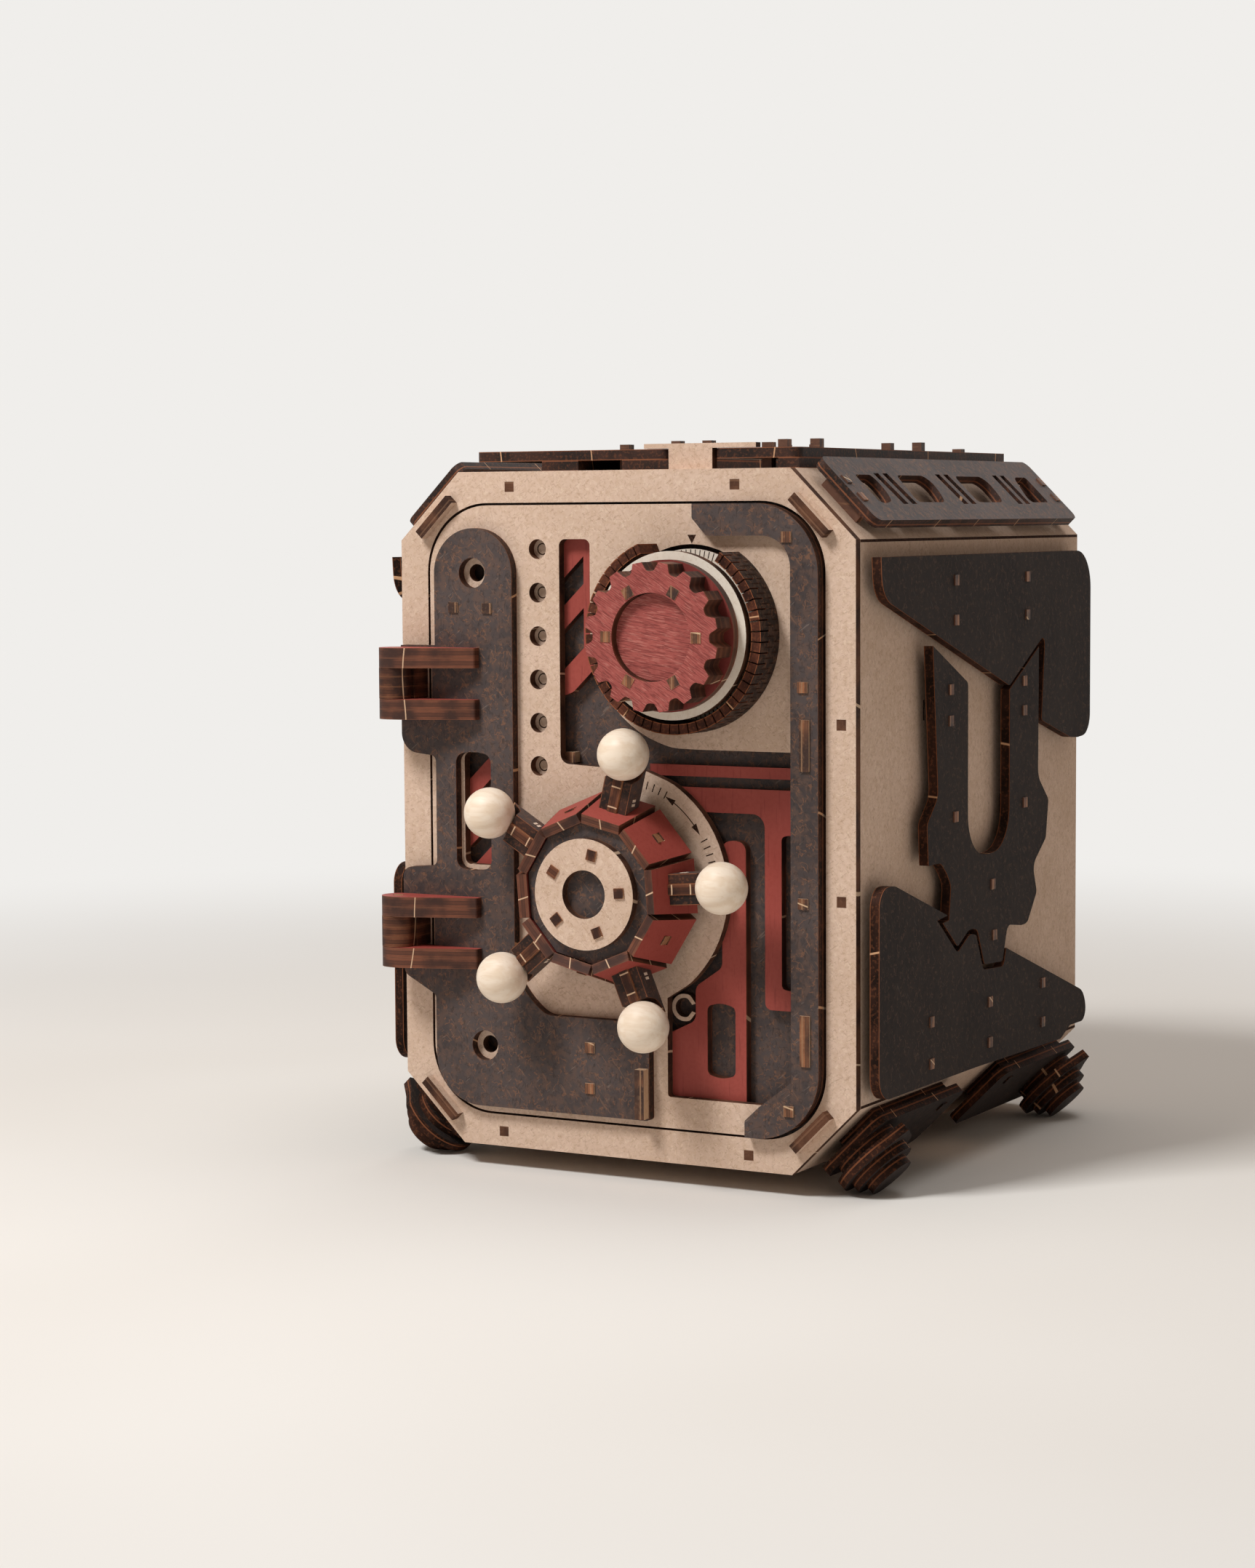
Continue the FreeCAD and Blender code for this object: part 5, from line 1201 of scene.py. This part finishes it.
@dataclass
class Case:
    """The octagonal case: panels, skins, ornament plates, roof, louvres and feet."""

    side: float = 75.0
    proud: float = 0.03
    seams: tuple[Point, ...] = ((186.99, 187.79), (26.79, 27.59))
    seam_ends: Point = (-69.4, 97.4)
    slits: tuple[Place, ...] = ((-25.9, 134.6, 140.6), (32.7, 102.6, 108.6), (-26.3, 106.4, 108.4))
    slit_width: float = 0.8

    def marks(self, ink: Material) -> None:
        """Builds dark strips in the seams along the side skins and in the slits in them: painted shade in
        these narrow gaps, over their burnt cut edges.

        Args:
            ink: Their finish.
        """
        mesh = bmesh.new()
        rows = [(*self.seam_ends, low, high) for low, high in self.seams]
        rows += [(y, y + self.slit_width, low, high) for y, low, high in self.slits]
        for side in (-1, 1):
            inner, outer = sorted((side * (self.side - SUNK), side * (self.side + self.proud)))
            for front, back, low, high in rows:
                # Each box is a dark strip: painted shade in a seam or slit.
                add_box(mesh, (inner, front, low), (outer, back, high))
        mesh_piece("skin_seams", mesh, "case", ink)

    def dress(self, painter: SheetPainter) -> None:
        """Finishes the case's nodes.

        Args:
            painter: Gives out the finishes.
        """
        painter.dress(LIGHT, Lie.FRONT, "front_frame", "back_panel", "top_crest")
        painter.dress(LIGHT, Lie.FLAT, "top_bottom_panels", "top_bottom_skins")
        painter.dress(LIGHT, Lie.SIDE, "side_panels", "side_skins")
        painter.dress(LIGHT, Lie.SLOPE, "corner_panels", "corner_skins")
        painter.dress(DARK, Lie.FRONT, "stop_frame")
        painter.dress(DARK, Lie.FLAT, "roof_plates")
        # The side plates get the dark board with its face darkened as painted shade.
        painter.dress(DARK_PAINTED_SHADE, Lie.SIDE, *(f"{name}_side_plates" for name in ("upper", "middle", "lower")))
        painter.dress(DARK, Lie.SLOPE, "louvre_plates")
        # The feet get the dark board with its face darkened as painted shade.
        painter.dress(DARK_PAINTED_SHADE, Lie.SLOPE, "foot_base_plates", "foot_drop_plates", "foot_discs")
        # The plate mounts: tab plywood with its face darkened as painted shade.
        painter.dress(MOUNT_PAINTED_SHADE, Lie.ENDS_X, "plate_mounts")
        painter.dress(PLY, Lie.FLAT, "hinge_knuckles")
        painter.dress(PLY, Lie.SOLID, "hinge_pins")


@dataclass
class Door:
    """The door leaf with its trims, arms, red plates and engraved marks."""

    arm_folds: Point = (108.26, 37.175)
    arm_start: float = 4.65
    arc: float = 31.0
    arc_half: float = 0.14
    arc_ends: Point = (38.0, 54.5)
    arc_flats: int = 8
    head: float = 3.4
    head_half: float = 0.95
    pointer: tuple[Point, ...] = ((22.18, 189.26), (25.0, 189.26), (23.59, 186.77))
    ticks: tuple[tuple[float, int], ...] = ((61.0, 8), (8.0, 6))
    tick_step: float = 4.0
    tick_reach: Point = (30.2, 32.6)
    tick_width: float = 0.32
    hole_x: float = -27.6
    hole_top: float = 185.19
    hole_pitch: float = 12.76
    holes: int = 6
    hole_floor: float = -69.75
    ring_radii: Point = (1.75, 1.42)
    ring_flats: int = 28
    ring_sunk: float = 0.1

    def dress(self, painter: SheetPainter) -> None:
        """Finishes the door's nodes.

        Args:
            painter: Gives out the finishes.
        """
        painter.dress(LIGHT, Lie.FRONT, "door_panel", "hole_strip", "lock_cover", "bolt_guides", "peg_ring")
        painter.dress(LIGHT, Lie.SOLID, "lock_walls")
        painter.dress(DARK, Lie.FRONT, "door_back_plate", "hinge_trim", "lock_trim")
        painter.dress(RED, Lie.FRONT, "stripe_plate", "hook_plate", "slot_plate", "thin_bar")
        painter.dress(RED, Lie.FLAT, "hinge_arms", folds=self.arm_folds, start=self.arm_start)
        painter.dress(PLY, Lie.FRONT, "bearing_rings")
        # The tab ends carry painted highlights on their edges.
        painter.dress(TAB, Lie.ENDS_Y, "trim_tabs")

    def turning_outlines(self) -> list[list[Point]]:
        """The double-headed arrow arc above the handwheel, and plain ticks at both ends of it.

        Returns:
            The outlines, in x and z.
        """
        first, last = self.arc_ends
        turns = [first + (last - first) * i / self.arc_flats for i in range(self.arc_flats + 1)]
        arc = [on_circle(WHEEL_AXIS, self.arc + self.arc_half, turn) for turn in turns]
        arc += [on_circle(WHEEL_AXIS, self.arc - self.arc_half, turn) for turn in reversed(turns)]
        outlines = [arc]
        reach = math.degrees(self.head / self.arc)
        for end, tip in ((first, first - reach), (last, last + reach)):
            base = [on_circle(WHEEL_AXIS, self.arc + side, end) for side in (self.head_half, -self.head_half)]
            outlines.append([*base, on_circle(WHEEL_AXIS, self.arc, tip)])
        for start, count in self.ticks:
            turns = [start + self.tick_step * i for i in range(count)]
            outlines += [tick(WHEEL_AXIS, turn, *self.tick_reach, self.tick_width) for turn in turns]
        return outlines

    def marks(self, ink: Material) -> None:
        """Builds the engraved marks on the leaf, and the rings at the bottom of its row of holes.

        Args:
            ink: The engraving's finish.
        """
        for name, outlines in (("pointer_mark", [self.pointer]), ("turning_marks", self.turning_outlines())):
            mesh = bmesh.new()
            for outline in outlines:
                add_prism(mesh, outline, LEAF_FACE - PROUD, LEAF_FACE + SUNK)
            mesh_piece(name, mesh, "door", ink)
        rings = bmesh.new()
        low, high = (Vector((0, self.hole_floor + out, 0)) * MM for out in (self.ring_sunk, -PROUD))
        for i in range(self.holes):
            centre = (self.hole_x, self.hole_top - self.hole_pitch * i)
            turns = [360 / self.ring_flats * k for k in range(self.ring_flats)]
            paths = [[on_circle(centre, radius, turn) for turn in turns] for radius in self.ring_radii]
            add_slab(rings, [[Vector((x, 0, z)) * MM for x, z in path] for path in paths], low, high)
        mesh_piece("hole_marks", rings, "door", ink)


@dataclass
class DialGuard:
    """The kerf-cut strip bent round the dial, with its rows of slits."""

    outer: float = 28.2
    start: float = 113.0
    end: float = 417.0
    front: float = LEAF_FACE - 11.75
    floor: float = -79.21
    cuts: int = 48
    gap: float = 0.22
    step: float = 3.2
    crease: float = math.radians(32)
    slit: float = 0.24
    slit_sunk: float = 0.3
    slit_proud: float = 0.05
    rows: tuple[Place, ...] = ((1.0, -82.1, -75.3), (0.5, -77.5, -73.0))

    def spot(self, radius: float, turn: float, y: float) -> Vector:
        """A corner round the dial's axis, in metres."""
        x, z = on_circle(DIAL_AXIS, radius, turn)
        return Vector((x, y, z)) * MM

    def band(self, mesh: Mesh, start: float, end: float, front: float, back: float) -> None:
        """Adds one closed length of the strip.

        Args:
            mesh: Where it is added.
            start: Degrees at one end.
            end: Degrees at the other end.
            front: y of its front edge.
            back: y of its back edge.
        """
        count = max(1, round((end - start) / self.step))
        section = ((GUARD_INNER, front), (self.outer, front), (self.outer, back), (GUARD_INNER, back))
        turns = [start + (end - start) * i / count for i in range(count + 1)]
        add_loft(mesh, [[self.spot(radius, turn, y) for radius, y in section] for turn in turns])

    def slits(self, ink: Material) -> None:
        """Builds the pointed slits that the bending has opened on the outside, as dark prisms: painted shade
        inside the openings, over their burnt walls.

        Args:
            ink: Their finish.
        """
        mesh = bmesh.new()
        pitch = (self.end - self.start) / self.cuts
        side = math.degrees(self.slit / self.outer)
        radii = (self.outer - self.slit_sunk, self.outer + self.slit_proud)
        for offset, front, back in self.rows:
            middle = (front + back) / 2
            for i in range(self.cuts - int(offset)):
                turn = self.start + pitch * (i + offset)
                section = ((turn, front), (turn + side, middle), (turn, back), (turn - side, middle))
                add_loft(mesh, [[self.spot(radius, angle, y) for angle, y in section] for radius in radii])
        mesh_piece("guard_slits", mesh, "door", ink)

    def build(self, ink: Material) -> None:
        """Builds the strip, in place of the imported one, and its slits.

        Args:
            ink: The slits' finish.
        """
        mesh = bmesh.new()
        pitch = (self.end - self.start) / self.cuts
        half = math.degrees(self.gap / self.outer)
        kerfs = [self.start + pitch * (i + 0.5) for i in range(self.cuts)]
        starts = [self.start] + [kerf + half for kerf in kerfs]
        ends = [kerf - half for kerf in kerfs] + [self.end]
        for start, end in zip(starts, ends):
            self.band(mesh, start, end, self.front, self.floor)
        self.band(mesh, self.start, self.end, self.floor, LEAF_FACE)
        board = Sheet(Dress("dial_guard", BENT, Lie.BAND)).finished()
        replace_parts(mesh_piece("bent_guard", mesh, "door", board, self.crease), "dial_guard")
        self.slits(ink)


@dataclass
class Handwheel:
    """The ten-sided handwheel with five spokes that end in turned balls."""

    spokes: int = 5
    ball: float = 7.5
    reach: float = 41.2
    ball_y: float = -87.9
    segments: int = 48
    rings: int = 28
    facet_gap: float = 8.7
    core_gap: float = 6.0
    half: float = 4.5
    tab_reach: Point = (27.0, 28.3)
    tab_size: Place = (0.8, 1.8, 0.12)
    tab_y: float = -84.0

    def dress(self, painter: SheetPainter) -> None:
        """Finishes the wheel's nodes.

        Args:
            painter: Gives out the finishes.
        """
        painter.dress(LIGHT, Lie.FRONT, "wheel_face_ring")
        painter.dress(DARK, Lie.FRONT, "wheel_hub_plates")
        painter.dress(RED, Lie.TILE, "wheel_facets", gap=self.facet_gap)
        painter.dress(PLY, Lie.SPOKE, "spoke_cores", gap=self.core_gap)
        painter.dress(DARK, Lie.SPOKE, "spoke_sides")
        painter.dress(PLY, Lie.SOLID, "wheel_shaft")
        painter.dress(PLY, Lie.FRONT, "pinion")

    def turns(self) -> list[float]:
        """The angle of each spoke, in degrees."""
        return [WHEEL_TURN + 360 / self.spokes * i for i in range(self.spokes)]

    def balls(self, wood: Material) -> None:
        """Builds the smooth turned balls in place of the faceted solids.

        Args:
            wood: Their finish.
        """
        mesh = bmesh.new()
        for turn in self.turns():
            x, z = on_circle(WHEEL_AXIS, self.reach, turn)
            lean = Matrix.Rotation(math.radians(90 - turn), 4, "Y")
            place = Matrix.Translation(Vector((x, self.ball_y, z)) * MM) @ lean
            bmesh.ops.create_uvsphere(mesh, u_segments=self.segments, v_segments=self.rings,
                                      radius=self.ball * MM, matrix=place)
        piece = mesh_piece("turned_balls", mesh, "handwheel", wood, math.pi)
        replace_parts(piece, "wheel_balls")

    def tabs(self, wood: Material) -> None:
        """Builds the two-lobed tab ends that show in both sides of each spoke.

        Args:
            wood: Their finish.
        """
        mesh = bmesh.new()
        hub = Matrix.Translation(Vector((WHEEL_AXIS[0], self.tab_y, WHEEL_AXIS[1])) * MM)
        size = Vector(self.tab_size)
        for turn in self.turns():
            spoke = hub @ Matrix.Rotation(math.radians(-turn), 4, "Y")
            for side in (-self.half, self.half):
                for reach in self.tab_reach:
                    middle = Vector((reach, 0, side))
                    add_box(mesh, middle - size / 2, middle + size / 2, spoke)
        mesh_piece("spoke_tabs", mesh, "handwheel", wood)


@dataclass
class Dial:
    """The combination dial: grip ring, discs and the scale behind them."""

    front: float = -72.7
    inner: float = 22.3
    outer: float = 24.3
    lines: int = 100
    width: float = 0.28
    longer: tuple[tuple[int, float], ...] = ((10, 1.2), (5, 0.6), (1, 0.0))
    grain_turn: float = 22.0

    def dress(self, painter: SheetPainter) -> None:
        """Finishes the dial's nodes.

        Args:
            painter: Gives out the finishes.
        """
        painter.dress(ROSE, Lie.FRONT, "dial_face_ring")
        painter.dress(ROSE, Lie.FRONT, "dial_centre_disc", turn=self.grain_turn)
        # The red disc: deeper red, partly painted shade from the grip ring.
        painter.dress(RED_DARKER_AND_SHADED, Lie.FRONT, "dial_red_disc")
        painter.dress(PALE, Lie.FRONT, "dial_rim_ring", "scale_disc")
        painter.dress(DARK, Lie.FRONT, "dial_hub")
        # The tab ends carry painted highlights on their edges.
        painter.dress(TAB, Lie.ENDS_Y, "dial_tabs")
        painter.dress(PLY, Lie.SOLID, "dial_shaft")
        painter.dress(LIGHT, Lie.FRONT, "drive_wheel", "code_wheel_front", "code_wheel_back")

    def scale(self, ink: Material) -> None:
        """Builds the engraved lines of the scale.

        Args:
            ink: The engraving's finish.
        """
        mesh = bmesh.new()
        for i in range(self.lines):
            low = self.inner - next(more for every, more in self.longer if i % every == 0)
            outline = tick(DIAL_AXIS, 90 - 360 / self.lines * i, low, self.outer, self.width)
            add_prism(mesh, outline, self.front - PROUD, self.front + SUNK)
        mesh_piece("scale_lines", mesh, "dial", ink)


@dataclass
class BoltWork:
    """The rack bar, bolts and fence inside the door."""

    def dress(self, painter: SheetPainter) -> None:
        """Finishes the bolt work's nodes."""
        painter.dress(LIGHT, Lie.FRONT, "bolt_bar", "fence")
        painter.dress(PLY, Lie.FRONT, "bolts")


@dataclass(frozen=True)
class Lamp:
    """A soft square lamp: its place and side in metres, and its power."""

    name: str
    place: Place
    watts: float
    side: float

    def build(self, target: Place) -> None:
        """Puts the lamp into the scene.

        Args:
            target: What it is aimed at, metres.
        """
        data = bpy.data.lights.new(self.name, "AREA")
        data.energy = self.watts
        data.size = self.side
        aim = (Vector(target) - Vector(self.place)).to_track_quat("-Z", "Y")
        link(self.name, data).matrix_world = Matrix.Translation(self.place) @ aim.to_matrix().to_4x4()


@dataclass
class Studio:
    """Camera, lamps, floor and background; lengths here are metres."""

    position: Place = (0.4603, -0.9038, 0.19479)
    azimuth: float = 28.87
    elevation: float = 4.684
    roll: float = -0.367
    lens: float = 75.18
    sensor: float = 36.0
    lamps: tuple[Lamp, ...] = (Lamp("key_lamp", (-0.34, -0.74, 1.08), 12.8, 0.3),
                               Lamp("top_lamp", (0.1, 0.3, 1.25), 4.5, 0.8))
    target: Place = (0.0, 0.0, 0.11)
    sky: Colour = (255, 235, 218)
    ambient: float = 0.235
    backdrop: Colour = (240, 238, 235)
    paper: tuple[Colour, Colour] = ((226, 222, 216), (232, 229, 224))
    paper_scale: float = 3.0
    paper_band: Point = (0.3, 0.7)
    paper_roughness: float = 0.9
    paper_specular: float = 0.1
    floor_size: float = 6.0
    fade: Point = (0.22, 0.85)

    def camera(self) -> None:
        """Sets the camera at the photograph's viewing angle."""
        data = bpy.data.cameras.new("camera")
        data.sensor_fit = "VERTICAL"
        data.sensor_height = self.sensor
        data.lens = self.lens
        turn = Matrix.Rotation(math.radians(self.azimuth), 4, "Z")
        tilt = Matrix.Rotation(math.radians(90 - self.elevation), 4, "X")
        lean = Matrix.Rotation(math.radians(self.roll), 4, "Z")
        camera = link("camera", data)
        camera.matrix_world = Matrix.Translation(self.position) @ turn @ tilt @ lean
        bpy.context.scene.camera = camera

    def world(self) -> None:
        """A soft warm sky that the camera, mirrors and glass see as pale."""
        world = bpy.data.worlds.new("studio")
        bpy.context.scene.world = world
        tree = Tree(world)
        path = tree.add("LightPath").outputs
        bounced = tree.math("MAXIMUM", path["Is Glossy Ray"], path["Is Transmission Ray"])
        seen = tree.math("MAXIMUM", path["Is Camera Ray"], bounced)
        soft = tree.add("Background", linear(self.sky), self.ambient)
        pale = tree.add("Background", linear(self.backdrop), 1.0)
        mix = tree.add("MixShader", seen, soft.outputs[0], pale.outputs[0])
        tree.add("OutputWorld", mix.outputs[0])

    def floor_finish(self) -> Material:
        """Pale paper that fades into the backdrop with distance, for the camera alone.

        Returns:
            The material.
        """
        graph = Graph("floor_paper")
        tone = graph.patches(graph.place, self.paper_scale, self.paper_band)
        graph.done(graph.blend(tone, *self.paper), self.paper_roughness, self.paper_specular)
        away = graph.math("LENGTH", graph.place, kind="VectorMath")
        seen = graph.add("LightPath").outputs["Is Camera Ray"]
        fade = graph.times(graph.step(away, *self.fade), seen)
        glow = graph.add("Emission", linear(self.backdrop))
        mix = graph.add("MixShader", fade, graph.shader.outputs[0], glow.outputs[0])
        graph.put(graph.output.inputs["Surface"], mix.outputs[0])
        return graph.material

    def floor(self) -> None:
        """A wide pale floor under the feet."""
        mesh = bmesh.new()
        half = self.floor_size / 2
        corners = ((-half, -half), (half, -half), (half, half), (-half, half))
        mesh.faces.new([mesh.verts.new((x, y, 0)) for x, y in corners])
        data = bpy.data.meshes.new("floor")
        mesh.to_mesh(data)
        mesh.free()
        data.materials.append(self.floor_finish())
        floor = link("floor", data)

    def build(self) -> None:
        """Sets up everything round the object."""
        self.camera()
        self.world()
        self.floor()
        for lamp in self.lamps:
            lamp.build(self.target)
        bpy.context.scene.view_settings.view_transform = "Standard"


def main() -> None:
    logging.basicConfig(level=logging.INFO, format="%(message)s")
    Studio().build()
    painter = SheetPainter(CurveCutter())
    ink = EngravingAndGapShade().material()
    case, door, wheel, dial, bolts = Case(), Door(), Handwheel(), Dial(), BoltWork()
    for part in (case, door, wheel, dial, bolts):
        part.dress(painter)
    case.marks(ink)
    door.marks(ink)
    DialGuard().build(ink)
    wheel.balls(TurnedWood("turned_ball_wood").material())
    wheel.tabs(TurnedWood("tab_end_wood").material())
    dial.scale(ink)


if __name__ == "__main__":
    main()
